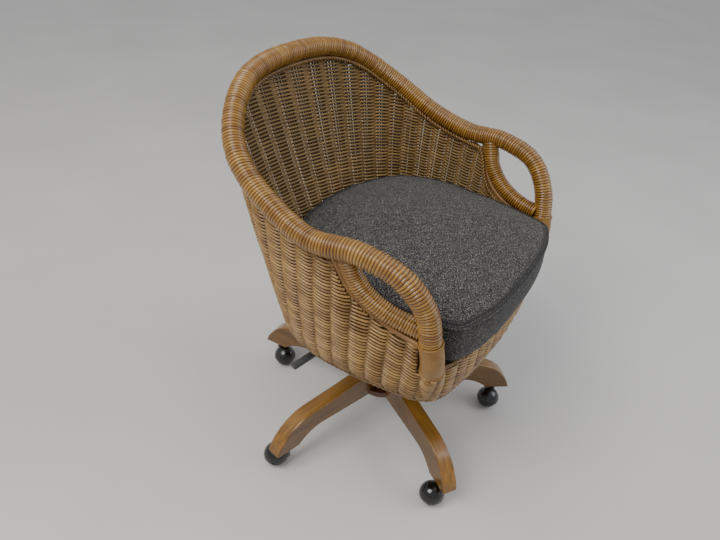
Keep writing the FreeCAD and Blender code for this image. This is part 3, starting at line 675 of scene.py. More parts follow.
def all_finishes() -> Dict[Part, Finish]:
    """The finish of every kind of piece.

    Returns:
        A finish for each part.
    """
    honey, amber = srgb(178, 132, 54), srgb(122, 80, 24)
    straw, umber = srgb(180, 142, 82), srgb(112, 78, 38)
    shadow, dark_cane = srgb(50, 32, 14), srgb(94, 66, 32)
    return {
        # The wraps carry painted shade in the grooves between turns.
        Part.WRAP: CaneFinish(honey, amber, 0.27, 0.35, toned=True, painted_groove_shade=True),
        # The weave's shadow colour is its painted shade deep in the wall.
        Part.WEAVE: CaneFinish(straw, umber, 0.34, 0.35, shadow, toned=True, sided=True),
        # The stakes' cane colour is darkened, partly painted shade for the gaps between the rows.
        Part.STAKE: CaneFinish(srgb(88, 64, 36), srgb(54, 38, 20), 0.6, 0.0),
        Part.BRAID: CaneFinish(srgb(150, 116, 62), dark_cane, 0.36, 0.3, toned=True),
        Part.EDGING: CaneFinish(srgb(142, 100, 50), srgb(98, 66, 30), 0.45, 0.12),
        Part.SHEATH: CaneFinish(srgb(156, 114, 50), srgb(98, 66, 26), 0.42, 0.15),
        Part.BORDER: CaneFinish(srgb(154, 118, 68), dark_cane, 0.36, 0.3, toned=True),
        Part.POLE: WoodFinish(srgb(176, 140, 92), srgb(128, 94, 56), (60.0, 60.0, 60.0), 0.6),
        Part.PLY: WoodFinish(srgb(170, 136, 96), srgb(124, 92, 60), (8.0, 90.0, 240.0)),
        Part.BATTEN: WoodFinish(srgb(164, 126, 80), srgb(118, 84, 50), (8.0, 120.0, 120.0)),
        Part.HUB: WoodFinish(srgb(106, 58, 34), srgb(64, 32, 18), (20.0, 110.0, 60.0), 0.30, 0.5),
        Part.STEEL: MetalFinish(srgb(168, 168, 170), 1.0, 0.30),
        Part.BLACK: MetalFinish(srgb(30, 30, 32), 0.0, 0.42, 0.25),
        Part.PLASTIC: PlasticFinish(srgb(26, 26, 27), srgb(52, 50, 48), 0.48),
        Part.GRIP: PlasticFinish(srgb(46, 48, 51), srgb(72, 72, 72), 0.38, 0.2),
        Part.CASTER: PlasticFinish(srgb(7, 7, 8), srgb(20, 20, 20), 0.22, 0.5),
        Part.WHEEL: PlasticFinish(srgb(18, 18, 19), srgb(58, 55, 52), 0.45),
        Part.TWEED: TweedFinish(srgb(22, 20, 24), srgb(48, 46, 49), srgb(172, 167, 152)),
    }


class Wardrobe:
    """Keeps one material for each kind of piece, and one wood material for each leg's direction."""

    def __init__(self) -> None:
        """Builds no material until it is asked for."""
        self.finishes = all_finishes()
        self.made: Dict[str, bpy.types.Material] = {}

    def kept(self, name: str, finish: Finish) -> bpy.types.Material:
        """A finish's material, built on first use.

        Args:
            name: the material's name.
            finish: its finish.

        Returns:
            The material.
        """
        if name not in self.made:
            self.made[name] = finish.build(name)
        return self.made[name]

    def get(self, part: Part) -> bpy.types.Material:
        """The material of a kind of piece."""
        return self.kept(part.value, self.finishes[part])

    def leg(self, heading: float) -> bpy.types.Material:
        """Leg wood whose grain runs along a heading.

        Args:
            heading: the leg's direction in degrees.

        Returns:
            The material.
        """
        # The last number is the painted shade on the legs' upright sides.
        finish = WoodFinish(srgb(158, 112, 42), srgb(100, 66, 22), (7.0, 120.0, 60.0), 0.26, 0.40,
                            -math.radians(heading), 0.55)
        return self.kept("leg_wood_%d" % round(heading % 360.0), finish)


# Geometry node trees
class GeometryTree(GroupGraph):
    """A geometry node group with named sizes, that runs once on a mesh of lines."""

    def __init__(self, name: str, sizes: Dict[str, float]) -> None:
        """Makes the group with its lines, its sizes and its material as inputs.

        Args:
            name: the group's name.
            sizes: its sizes with their default values.
        """
        inputs = {"Lines": "Geometry", **sizes, "Material": "Material"}
        super().__init__(name, "GeometryNodeTree", inputs, {"Made": "Geometry"})

    def named(self, name: str, kind: str = "FLOAT") -> Socket:
        """An attribute that the lines carry.

        Args:
            name: the attribute's name.
            kind: its data type.

        Returns:
            Its value.
        """
        made = self.node("GeometryNodeInputNamedAttribute", data_type=kind)
        made.inputs["Name"].default_value = name
        return made.outputs[0]

    def through(self, kind: str, inputs: Dict[object, object], **settings: object) -> Socket:
        """Adds a node, feeds its inputs and hands on its first output.

        Args:
            kind: the node's type name.
            inputs: its inputs by name or number.
            settings: its properties.

        Returns:
            The node's first output.
        """
        made = self.node(kind, **settings)
        for name, value in inputs.items():
            self.feed(made.inputs[name], value)
        return made.outputs[0]

    def store(self, geometry: Socket, name: str, value: Socket, domain: str = "POINT") -> Socket:
        """Writes an attribute on the geometry.

        Args:
            geometry: what carries it.
            name: the attribute's name.
            value: its value.
            domain: whether points or curves carry it.

        Returns:
            The geometry with the attribute.
        """
        inputs = {"Geometry": geometry, "Name": name, "Value": value}
        return self.through("GeometryNodeStoreNamedAttribute", inputs, data_type="FLOAT", domain=domain)

    def chance(self, low: float, high: float, seed: int, who: Socket) -> Socket:
        """A random number for each element.

        Args:
            low, high: its limits.
            seed: the fixed seed.
            who: the number that tells the elements apart.

        Returns:
            The random number.
        """
        made = self.node("FunctionNodeRandomValue", data_type="FLOAT")
        for name, value in ((2, low), (3, high), ("Seed", seed), ("ID", who)):
            self.feed(made.inputs[name], value)
        return made.outputs[1]

    def moved(self, geometry: Socket, offset: Socket) -> Socket:
        """Shifts every point by an offset."""
        return self.through("GeometryNodeSetPosition", {"Geometry": geometry, "Offset": offset})

    def tube(self, lines: Socket, radius: Socket, sides: int) -> Socket:
        """Sweeps a round section along lines.

        Args:
            lines: mesh edges.
            radius: the section's radius.
            sides: the section's corners.

        Returns:
            The tubes.
        """
        return self.swept(self.curve(lines), radius, sides)

    def swept(self, curve: Socket, radius: Socket, sides: int, **scale: Socket) -> Socket:
        """Sweeps a round section along curves.

        Args:
            curve: the curves.
            radius: the section's radius.
            sides: the section's corners.
            scale: the section's size along the curves, named Scale.

        Returns:
            The tubes.
        """
        ring = self.through("GeometryNodeCurvePrimitiveCircle", {"Resolution": sides, "Radius": radius},
                            mode="RADIUS")
        about = self.node("GeometryNodeSplineParameter").outputs["Factor"]
        section = self.store(ring, "turn", about)
        inputs = {"Curve": curve, "Profile Curve": section, "Fill Caps": True, **scale}
        return self.through("GeometryNodeCurveToMesh", inputs)

    def curve(self, lines: Socket) -> Socket:
        """Turns mesh edges into curves."""
        return self.through("GeometryNodeMeshToCurve", {0: lines})

    def finish(self, geometry: Socket) -> bpy.types.NodeTree:
        """Ends the tree in smooth shading, realized instances and the material.

        Args:
            geometry: what the tree has made.

        Returns:
            The node group.
        """
        smooth = self.through("GeometryNodeSetShadeSmooth", {0: geometry})
        real = self.through("GeometryNodeRealizeInstances", {0: smooth})
        inputs = {"Geometry": real, "Material": self.given("Material")}
        self.give("Made", self.through("GeometryNodeSetMaterial", inputs))
        return self.tree


def twined_strands_tree(strands: int, sides: int) -> bpy.types.NodeTree:
    """Strands that twist about each line: the pair of a woven row, a braid or a rope border.

    The lines carry the attributes beat (half turns so far), out and rise (two directions across the line).

    Args:
        strands: how many strands twist about a line.
        sides: corners of a strand's section.

    Returns:
        The node group.
    """
    tone_seed, thick_seed = 11, 41
    t = GeometryTree("twined_%d_strands" % strands, {
        "Strand Radius": 1.7 * MM, "Reach": 4.5 * MM, "Lift": 1.7 * MM, "Flatness": 0.2})
    flatness = t.given("Flatness")
    joined = t.node("GeometryNodeJoinGeometry")
    for i in range(strands):
        angle = t.math("MULTIPLY_ADD", t.named("beat"), -math.pi, TAU * i / strands)
        flattened = t.math("SINE", t.math("MULTIPLY", t.math("COSINE", angle), flatness))
        side = t.math("DIVIDE", flattened, t.math("SINE", flatness))
        far = t.math("MULTIPLY", side, t.given("Reach"))
        high = t.math("MULTIPLY", t.math("SINE", angle), t.given("Lift"))
        out = t.vector("SCALE", t.named("out", "FLOAT_VECTOR"), scale=far)
        rise = t.vector("SCALE", t.named("rise", "FLOAT_VECTOR"), scale=high)
        lines = t.moved(t.store(t.given("Lines"), "side", side), t.vector("ADD", out, rise))
        index = t.node("GeometryNodeInputIndex").outputs[0]
        curve = t.store(t.curve(lines), "tone", t.chance(0.0, 1.0, tone_seed + i, index), "CURVE")
        curve = t.store(curve, "thick", t.chance(0.88, 1.10, thick_seed + i, index), "CURVE")
        t.feed(joined.inputs[0], t.swept(curve, t.given("Strand Radius"), sides, Scale=t.named("thick")))
    return t.finish(joined.outputs[0])


def wrapped_pole_tree(sides: int) -> bpy.types.NodeTree:
    """A pole wound with one flat strip, each turn domed and its edges sunk.

    The line carries the attribute wraps, the turns so far.

    Args:
        sides: corners of the pole's section.

    Returns:
        The node group.
    """
    tone_seed, crown_seed, dome = 5, 8, 2.6
    t = GeometryTree("wrapped_pole", {"Pole Radius": 18.8 * MM, "Crown": 1.3 * MM})
    tube = t.tube(t.given("Lines"), t.given("Pole Radius"), sides)
    turn = t.math("ADD", t.named("wraps"), t.named("turn"))
    edge = t.math("ABSOLUTE", t.math("MULTIPLY_ADD", t.math("FRACT", turn), 2.0, -1.0))
    crown = t.math("SUBTRACT", 1.0, t.math("POWER", edge, dome))
    number = t.math("FLOOR", turn)
    tube = t.store(tube, "crown", crown)
    tube = t.store(tube, "tone", t.chance(0.0, 1.0, tone_seed, number))
    height = t.math("MULTIPLY", t.given("Crown"), t.chance(0.75, 1.15, crown_seed, number))
    normal = t.node("GeometryNodeInputNormal").outputs[0]
    lift = t.vector("SCALE", normal, scale=t.math("MULTIPLY", crown, height))
    return t.finish(t.moved(tube, lift))


def plain_tube_tree(sides: int) -> bpy.types.NodeTree:
    """Round tubes along the lines, such as stakes, a coil and piping."""
    t = GeometryTree("plain_tubes", {"Tube Radius": 3.0 * MM})
    return t.finish(t.tube(t.given("Lines"), t.given("Tube Radius"), sides))


# Meshes and objects
def linked(name: str, data: object) -> bpy.types.Object:
    """Makes an object and links it to the scene.

    Args:
        name: the object's name.
        data: its mesh, lamp or camera.

    Returns:
        The object.
    """
    made = bpy.data.objects.new(name, data)
    bpy.context.scene.collection.objects.link(made)
    return made


def applied(obj: bpy.types.Object, modifier: bpy.types.Modifier) -> bpy.types.Mesh:
    """Puts a modifier's result in the object's mesh and removes the modifier.

    Args:
        obj: the object.
        modifier: its only modifier.

    Returns:
        The new mesh.
    """
    bpy.context.view_layer.update()
    graph = bpy.context.evaluated_depsgraph_get()
    made = bpy.data.meshes.new_from_object(obj.evaluated_get(graph))
    obj.modifiers.remove(modifier)
    obj.data = made
    return made


def settle(obj: bpy.types.Object, tree: bpy.types.NodeTree, values: Dict[str, object]) -> bpy.types.Object:
    """Runs a tree on an object and keeps the result as a plain mesh.

    Args:
        obj: the object with the lines.
        tree: the geometry node group.
        values: its inputs by name.

    Returns:
        The same object with the made mesh and no modifier.
    """
    modifier = obj.modifiers.new("made", "NODES")
    modifier.node_group = tree
    for item in tree.interface.items_tree:
        if item.item_type == "SOCKET" and item.in_out == "INPUT" and item.name in values:
            modifier[item.identifier] = values[item.name]
    face_out(applied(obj, modifier))
    return obj


def mesh_again(obj: bpy.types.Object, kind: str, **settings: object) -> None:
    """Applies one modifier to an object's mesh.

    Args:
        obj: the object.
        kind: the modifier's type name.
        settings: the modifier's properties.
    """
    modifier = obj.modifiers.new("once", kind)
    for name, value in settings.items():
        setattr(modifier, name, value)
    applied(obj, modifier)


def vertex_places(mesh: bpy.types.Mesh) -> np.ndarray:
    """Place of every vertex of a mesh.

    Args:
        mesh: the mesh.

    Returns:
        The places, one row for each vertex.
    """
    places = np.zeros(len(mesh.vertices) * 3, np.float32)
    mesh.vertices.foreach_get("co", places)
    return places.reshape(-1, 3)


def triangles(mesh: bpy.types.Mesh) -> np.ndarray:
    """The three corners of every triangle of a mesh.

    Args:
        mesh: the mesh.

    Returns:
        Places, by triangle and corner.
    """
    mesh.calc_loop_triangles()
    corners = np.zeros(len(mesh.loop_triangles) * 3, np.int32)
    mesh.loop_triangles.foreach_get("vertices", corners)
    return vertex_places(mesh)[corners.reshape(-1, 3)].astype(float)


def face_out(mesh: bpy.types.Mesh) -> None:
    """Turns every face round if the mesh's signed volume is negative.

    Args:
        mesh: the mesh.
    """
    tri = triangles(mesh)
    tri -= tri.reshape(-1, 3).mean(0)
    if float(np.einsum("ij,ij->i", tri[:, 0], np.cross(tri[:, 1], tri[:, 2])).sum()) < 0.0:
        mesh.flip_normals()


def copy_of(obj: bpy.types.Object, name: str) -> bpy.types.Object:
    """A new object with a merged copy of a CAD node's mesh.

    Args:
        obj: the CAD node.
        name: the new object's name.

    Returns:
        The new object.
    """
    mesh = obj.data.copy()
    mesh.name = name
    body = bmesh.new()
    body.from_mesh(mesh)
    bmesh.ops.remove_doubles(body, verts=body.verts, dist=WELD)
    body.to_mesh(mesh)
    body.free()
    return linked(name, mesh)


def paint(obj: bpy.types.Object, material: bpy.types.Material) -> None:
    """Gives an object one material."""
    obj.data.materials.clear()
    obj.data.materials.append(material)


def dress(obj: bpy.types.Object, material: bpy.types.Material) -> None:
    """Assigns a material to every slot of a kept node.

    Args:
        obj: the CAD node.
        material: its material.
    """
    if not obj.material_slots:
        obj.data.materials.append(material)
    for slot in obj.material_slots:
        slot.material = material


def place(obj: bpy.types.Object, body: str, slot: str, *nodes: str) -> None:
    """Puts a piece on its body and hides the CAD nodes that it stands for.

    Args:
        obj: the piece.
        body: its body, or nothing to leave it unattached.
        slot: not used.
        nodes: the CAD nodes that it stands for.
    """
    if body:
        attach(obj, body)
    if nodes:
        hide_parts(*nodes)
    LOG.info("%s: %d faces", obj.name, len(obj.data.polygons))


# Lines and surfaces
@dataclass
class Line:
    """A line of points with values that ride on them."""

    points: np.ndarray
    closed: bool = False
    numbers: Dict[str, np.ndarray] = field(default_factory=dict)
    vectors: Dict[str, np.ndarray] = field(default_factory=dict)


def line_object(name: str, lines: Sequence[Line]) -> bpy.types.Object:
    """Makes an object of mesh edges from lines, with their values as attributes.

    Args:
        name: the object's name.
        lines: the lines, which all carry the same values.

    Returns:
        The object, linked to the scene.
    """
    edges: List[Tuple[int, int]] = []
    first = 0
    for line in lines:
        last = first + len(line.points) - 1
        edges += [(i, i + 1) for i in range(first, last)]
        if line.closed:
            edges.append((last, first))
        first = last + 1
    mesh = bpy.data.meshes.new(name)
    mesh.from_pydata(np.vstack([line.points for line in lines]).tolist(), edges, [])
    for key in lines[0].numbers:
        made = mesh.attributes.new(key, "FLOAT", "POINT")
        values = np.concatenate([line.numbers[key] for line in lines])
        made.data.foreach_set("value", values.astype(np.float32))
    for key in lines[0].vectors:
        made = mesh.attributes.new(key, "FLOAT_VECTOR", "POINT")
        values = np.vstack([line.vectors[key] for line in lines])
        made.data.foreach_set("vector", values.astype(np.float32).ravel())
    return linked(name, mesh)


def unit(vectors: np.ndarray) -> np.ndarray:
    """The same directions, each with a length of one."""
    return vectors / np.linalg.norm(vectors, axis=-1, keepdims=True)


def upward(first: np.ndarray, second: np.ndarray) -> np.ndarray:
    """Directions square to two others, turned to point up."""
    square = unit(np.cross(first, second))
    return square * np.sign(square[:, 2:3] + TINY)


def level_way(angle: float) -> np.ndarray:
    """Level direction at an angle about the upright axis."""
    return np.array([math.cos(angle), math.sin(angle), 0.0])


def lengths(points: np.ndarray) -> np.ndarray:
    """Length run along the points, from 0 at the first."""
    steps = np.linalg.norm(np.diff(points, axis=0), axis=1)
    return np.concatenate([[0.0], np.cumsum(steps)])


def read_at(spots: np.ndarray, run: np.ndarray, values: np.ndarray) -> np.ndarray:
    """Places or directions at some spots of a line, between its known ones."""
    return np.stack([np.interp(spots, run, values[:, k]) for k in range(3)], 1)


def smooth_line(knots: np.ndarray, step: float) -> np.ndarray:
    """Smooth line through knots, sampled at an even step.

    Args:
        knots: the points that the line passes.
        step: distance between samples.

    Returns:
        The sampled points.
    """
    samples = 40
    ahead = np.diff(knots, axis=0)
    size = np.linalg.norm(ahead, axis=1)
    slopes = np.zeros_like(knots)
    slopes[0], slopes[-1] = ahead[0] / size[0], ahead[-1] / size[-1]
    for i in range(1, len(knots) - 1):
        slope = ahead[i - 1] * (size[i] / size[i - 1]) + ahead[i] * (size[i - 1] / size[i])
        slopes[i] = slope / np.linalg.norm(slope)
    dense = []
    for i, chord in enumerate(size):
        t = np.linspace(0.0, 1.0, samples, endpoint=i == len(size) - 1)[:, None]
        dense.append((2 * t ** 3 - 3 * t ** 2 + 1) * knots[i] + (t ** 3 - 2 * t ** 2 + t) * slopes[i] * chord
                     + (3 * t ** 2 - 2 * t ** 3) * knots[i + 1] + (t ** 3 - t ** 2) * slopes[i + 1] * chord)
    return resampled(np.vstack(dense), step)


def resampled(points: np.ndarray, step: float) -> np.ndarray:
    """The same line with evenly spaced points.

    Args:
        points: the line's points.
        step: the wanted distance between points.

    Returns:
        The new points.
    """
    run = lengths(points)
    count = max(2, int(round(run[-1] / step)) + 1)
    return read_at(np.linspace(0.0, run[-1], count), run, points)


def softened(values: np.ndarray, window: int, closed: bool) -> np.ndarray:
    """Moving average along a line, with its ends kept.

    Args:
        values: the values, one row for each point.
        window: how many points are averaged, an odd number.
        closed: whether the line is a ring.

    Returns:
        The averaged values.
    """
    half = window // 2
    padded = np.pad(values, ((half, half), (0, 0)), mode="wrap" if closed else "edge")
    kernel = np.ones(window) / window
    return np.stack([np.convolve(padded[:, k], kernel, "valid") for k in range(values.shape[1])], 1)


class Skin:
    """Surface of CAD nodes, seen from outside."""

    def __init__(self, frame: dict, centre: Tuple[float, float], *nodes: str) -> None:
        """Gathers the triangles of the nodes.

        Args:
            frame: the loaded frame.
            centre: where the upright axis stands that rays are cast at.
            nodes: the names of the nodes.
        """
        places: List[Tuple[float, ...]] = []
        faces: List[Tuple[int, ...]] = []
        for name in nodes:
            mesh = frame["nodes"][name].data
            first = len(places)
            places += [tuple(v.co) for v in mesh.vertices]
            faces += [tuple(first + i for i in p.vertices) for p in mesh.polygons]
        self.tree = BVHTree.FromPolygons(places, faces)
        self.middle = np.array([*centre, 0.0])

    def seen(self, way: np.ndarray, height: float) -> Optional[Tuple[np.ndarray, np.ndarray]]:
        """First surface on a level ray from outside to the axis.

        Args:
            way: level direction away from the axis.
            height: the ray's height.

        Returns:
            Its place and outward normal, or nothing where only the far wall is met.
        """
        start = self.middle + way * RAY_START + UP * height
        spot, normal, _, _ = self.tree.ray_cast(Vector(start), Vector(-way))
        if spot is None or float((np.array(spot) - self.middle)[:2] @ way[:2]) < LEAST_RADIUS:
            return None
        side = np.array(normal)
        if float(side @ way) < 0.0:
            side = -side
        return np.array(spot), side


# Sub-assemblies
@dataclass
class Assembly:
    """A sub-assembly, with the frame and the materials at hand."""

    frame: dict
    wardrobe: Wardrobe

    def run(self, name: str, lines: Sequence[Line], tree: bpy.types.NodeTree, part: Part,
            sizes: Dict[str, float]) -> bpy.types.Object:
        """Makes a piece by running a tree on lines.

        Args:
            name: the piece's name.
            lines: its lines.
            tree: the geometry node group.
            part: its finish.
            sizes: the tree's sizes by name.

        Returns:
            The piece.
        """
        return settle(line_object(name, lines), tree, {**sizes, "Material": self.wardrobe.get(part)})


@dataclass
class WovenShell(Assembly):
    """Paired weave over upright stakes."""

    centre: Tuple[float, float] = (0.0, -45.0 * MM)
    post_foot: Tuple[float, float] = (221.0 * MM, -202.0 * MM)
    row_pitch: float = 7.0 * MM
    first_row: float = 347.0 * MM
    even_height: float = 410.0 * MM
    strand_radius: float = 2.35 * MM
    strand_lift: float = 1.9 * MM
    strand_flatness: float = 1.42
    strand_step: float = 4.2 * MM
    squeeze: float = 0.6 * MM
    stake_radius: float = 2.6 * MM
    stake_count: int = 52
    stake_offsets: Tuple[float, ...] = (-0.25, -0.083, 0.083, 0.25)
    stake_start: float = 6.0 * MM
    stake_step: float = 9.0 * MM
    half_thickness: float = 5.0 * MM
    ray_count: int = 1248
    shortest_run: int = 12
    fewest_points: int = 8
    fewest_levels: int = 3
    beat_window: int = 9
    place_window: int = 7
    normal_window: int = 15
    column_window: int = 5
    strand_sides: int = 6
    stake_sides: int = 6
    post_dip: float = 9.0 * MM
    post_width: float = 0.075
    dip_growth: float = 40.0 * MM
    dip_start: float = 0.15
    bands: int = 4

    def __post_init__(self) -> None:
        """Prepares the surface and the rays."""
        self.skin = Skin(self.frame, self.centre, "woven_wall", "front_apron")
        self.angles = np.linspace(-math.pi, math.pi, self.ray_count, endpoint=False)
        self.ways = np.stack([np.cos(self.angles), np.sin(self.angles), np.zeros(self.ray_count)], 1)
        self.top = float(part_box("woven_wall")[1].z)
        self.beats = self.stake_beats()

    def ring(self, height: np.ndarray) -> Tuple[np.ndarray, np.ndarray, np.ndarray]:
        """Outer surface at a height for every ray.

        Args:
            height: the height of each ray.

        Returns:
            Places, outward directions and a mask of the rays that meet the weave.
        """
        places = np.zeros((self.ray_count, 3))
        normals = np.zeros((self.ray_count, 3))
        met = np.zeros(self.ray_count, bool)
        for i, way in enumerate(self.ways):
            found = self.skin.seen(way, height[i])
            if found is not None:
                met[i] = True
                places[i], normals[i] = found
        return places, normals, met

    def stake_beats(self) -> np.ndarray:
        """Stake number of every ray, even along the weave at a middle height.

        Returns:
            The numbers, with fractions between the stakes.
        """
        places, _, _ = self.ring(np.full(self.ray_count, self.even_height))
        loop = np.vstack([places, places[:1]])
        run = lengths(softened(loop, self.beat_window, True))
        return self.stake_count * run[:-1] / run[-1]

    def heights(self, height: float) -> np.ndarray:
        """Height of a row at every ray: level, and dipping to the foot of each post.

        Args:
            height: the row's height away from the posts.

        Returns:
            The height at each ray.
        """
        post = math.atan2(self.post_foot[1] - self.centre[1], self.post_foot[0] - self.centre[0])
        dip = np.zeros(self.ray_count)
        for angle in (post, math.pi - post):
            apart = np.angle(np.exp(1j * (self.angles - angle)))
            dip += np.exp(-(apart / self.post_width) ** 2)
        share = min(1.0, (height - self.first_row) / self.dip_growth + self.dip_start)
        return height - dip * self.post_dip * share

    def rows(self) -> List[Line]:
        """Every row of the weave as a line in the middle of the wall.

        Returns:
            The rows from the lowest up, each as one line or more.
        """
        found: List[Line] = []
        count = int((self.top - self.first_row) / self.row_pitch) + 1
        for k in range(count):
            found += self.runs(*self.ring(self.heights(self.first_row + k * self.row_pitch)))
        return found

    def runs(self, places: np.ndarray, normals: np.ndarray, met: np.ndarray) -> List[Line]:
        """Cuts a ring into the unbroken stretches that meet the weave.

        Args:
            places, normals: the surface at every ray.
            met: which rays meet the weave.

        Returns:
            A line for each stretch.
        """
        if met.all():
            return [self.row_line(places, normals, self.beats, True)]
        start = int(np.argmin(met))
        order = (np.arange(self.ray_count) + start) % self.ray_count
        found: List[Line] = []
        run: List[int] = []
        for i in [*order, start]:
            if met[i]:
                run.append(i)
                continue
            if len(run) > self.shortest_run:
                beats = np.unwrap(self.beats[run], period=self.stake_count)
                found.append(self.row_line(places[run], normals[run], beats, False))
            run = []
        return found

    def row_line(self, places: np.ndarray, normals: np.ndarray, beats: np.ndarray, closed: bool) -> Line:
        """Middle line of a row with its beat and its two directions.

        Args:
            places, normals: the outer surface along the row.
            beats: the stake number at each place.
            closed: whether the row is a ring.

        Returns:
            The line.
        """
        out = unit(softened(unit(normals), self.normal_window, closed))
        middle = softened(places, self.place_window, closed) - out * self.half_thickness
        if closed:
            middle = np.vstack([middle, middle[:1]])
            out = np.vstack([out, out[:1]])
            beats = np.concatenate([beats, [beats[0] + self.stake_count]])
        run = lengths(middle)
        count = max(self.fewest_points, int(run[-1] / self.strand_step))
        spots = np.linspace(0.0, run[-1], count, endpoint=not closed)
        middle = read_at(spots, run, middle)
        out = unit(read_at(spots, run, out))
        rise = upward(out, unit(np.gradient(middle, axis=0)))
        return Line(middle, closed, {"beat": np.interp(spots, run, beats)}, {"out": out, "rise": rise})

    def stakes(self) -> List[Line]:
        """Upright stakes in fours through the middle of the weave.

        Returns:
            A line for each unbroken stake.
        """
        half = 0.5 * self.stake_count
        wanted = [k + offset for k in range(self.stake_count) for offset in self.stake_offsets]
        picks = [int(np.argmin(np.abs((self.beats - beat + half) % self.stake_count - half)))
                 for beat in wanted]
        columns: Dict[int, List[np.ndarray]] = {k: [] for k in range(len(picks))}
        found: List[List[np.ndarray]] = []
        for height in np.arange(self.first_row - self.stake_start, self.top, self.stake_step):
            places, normals, met = self.ring(np.full(self.ray_count, height))
            for k, i in enumerate(picks):
                if met[i]:
                    columns[k].append(places[i] - unit(normals[i]) * self.half_thickness)
                elif len(columns[k]) > self.fewest_levels:
                    found.append(columns[k])
                    columns[k] = []
        found += [column for column in columns.values() if len(column) > self.fewest_levels]
        return [Line(softened(np.array(column), self.column_window, False)) for column in found]

    def build(self) -> None:
        """Makes the weave in bands, and the stakes."""
        tree = twined_strands_tree(2, self.strand_sides)
        sizes = {"Strand Radius": self.strand_radius, "Lift": self.strand_lift,
                 "Reach": self.stake_radius + self.strand_radius - self.squeeze,
                 "Flatness": self.strand_flatness}
        rows = self.rows()
        total = sum(len(line.points) for line in rows)
        band: List[Line] = []
        number, points = 1, 0
        for line in rows:
            band.append(line)
            points += len(line.points)
            if points >= total / self.bands * number or line is rows[-1]:
                woven = self.run("weave_band_%d" % number, band, tree, Part.WEAVE, sizes)
                place(woven, "seat", "weave", "woven_wall", "front_apron")
                band, number = [], number + 1
        stakes = self.run("weave_stakes", self.stakes(), plain_tube_tree(self.stake_sides), Part.STAKE,
                          {"Tube Radius": self.stake_radius})
        place(stakes, "seat", "weave", "woven_wall", "front_apron")


@dataclass(frozen=True)
class Lay:
    """How a rope is laid: half a turn's length, its strands, their radius and reach, and its finish."""

    half_turn: float
    strands: int
    radius: float
    reach: float
    part: Part


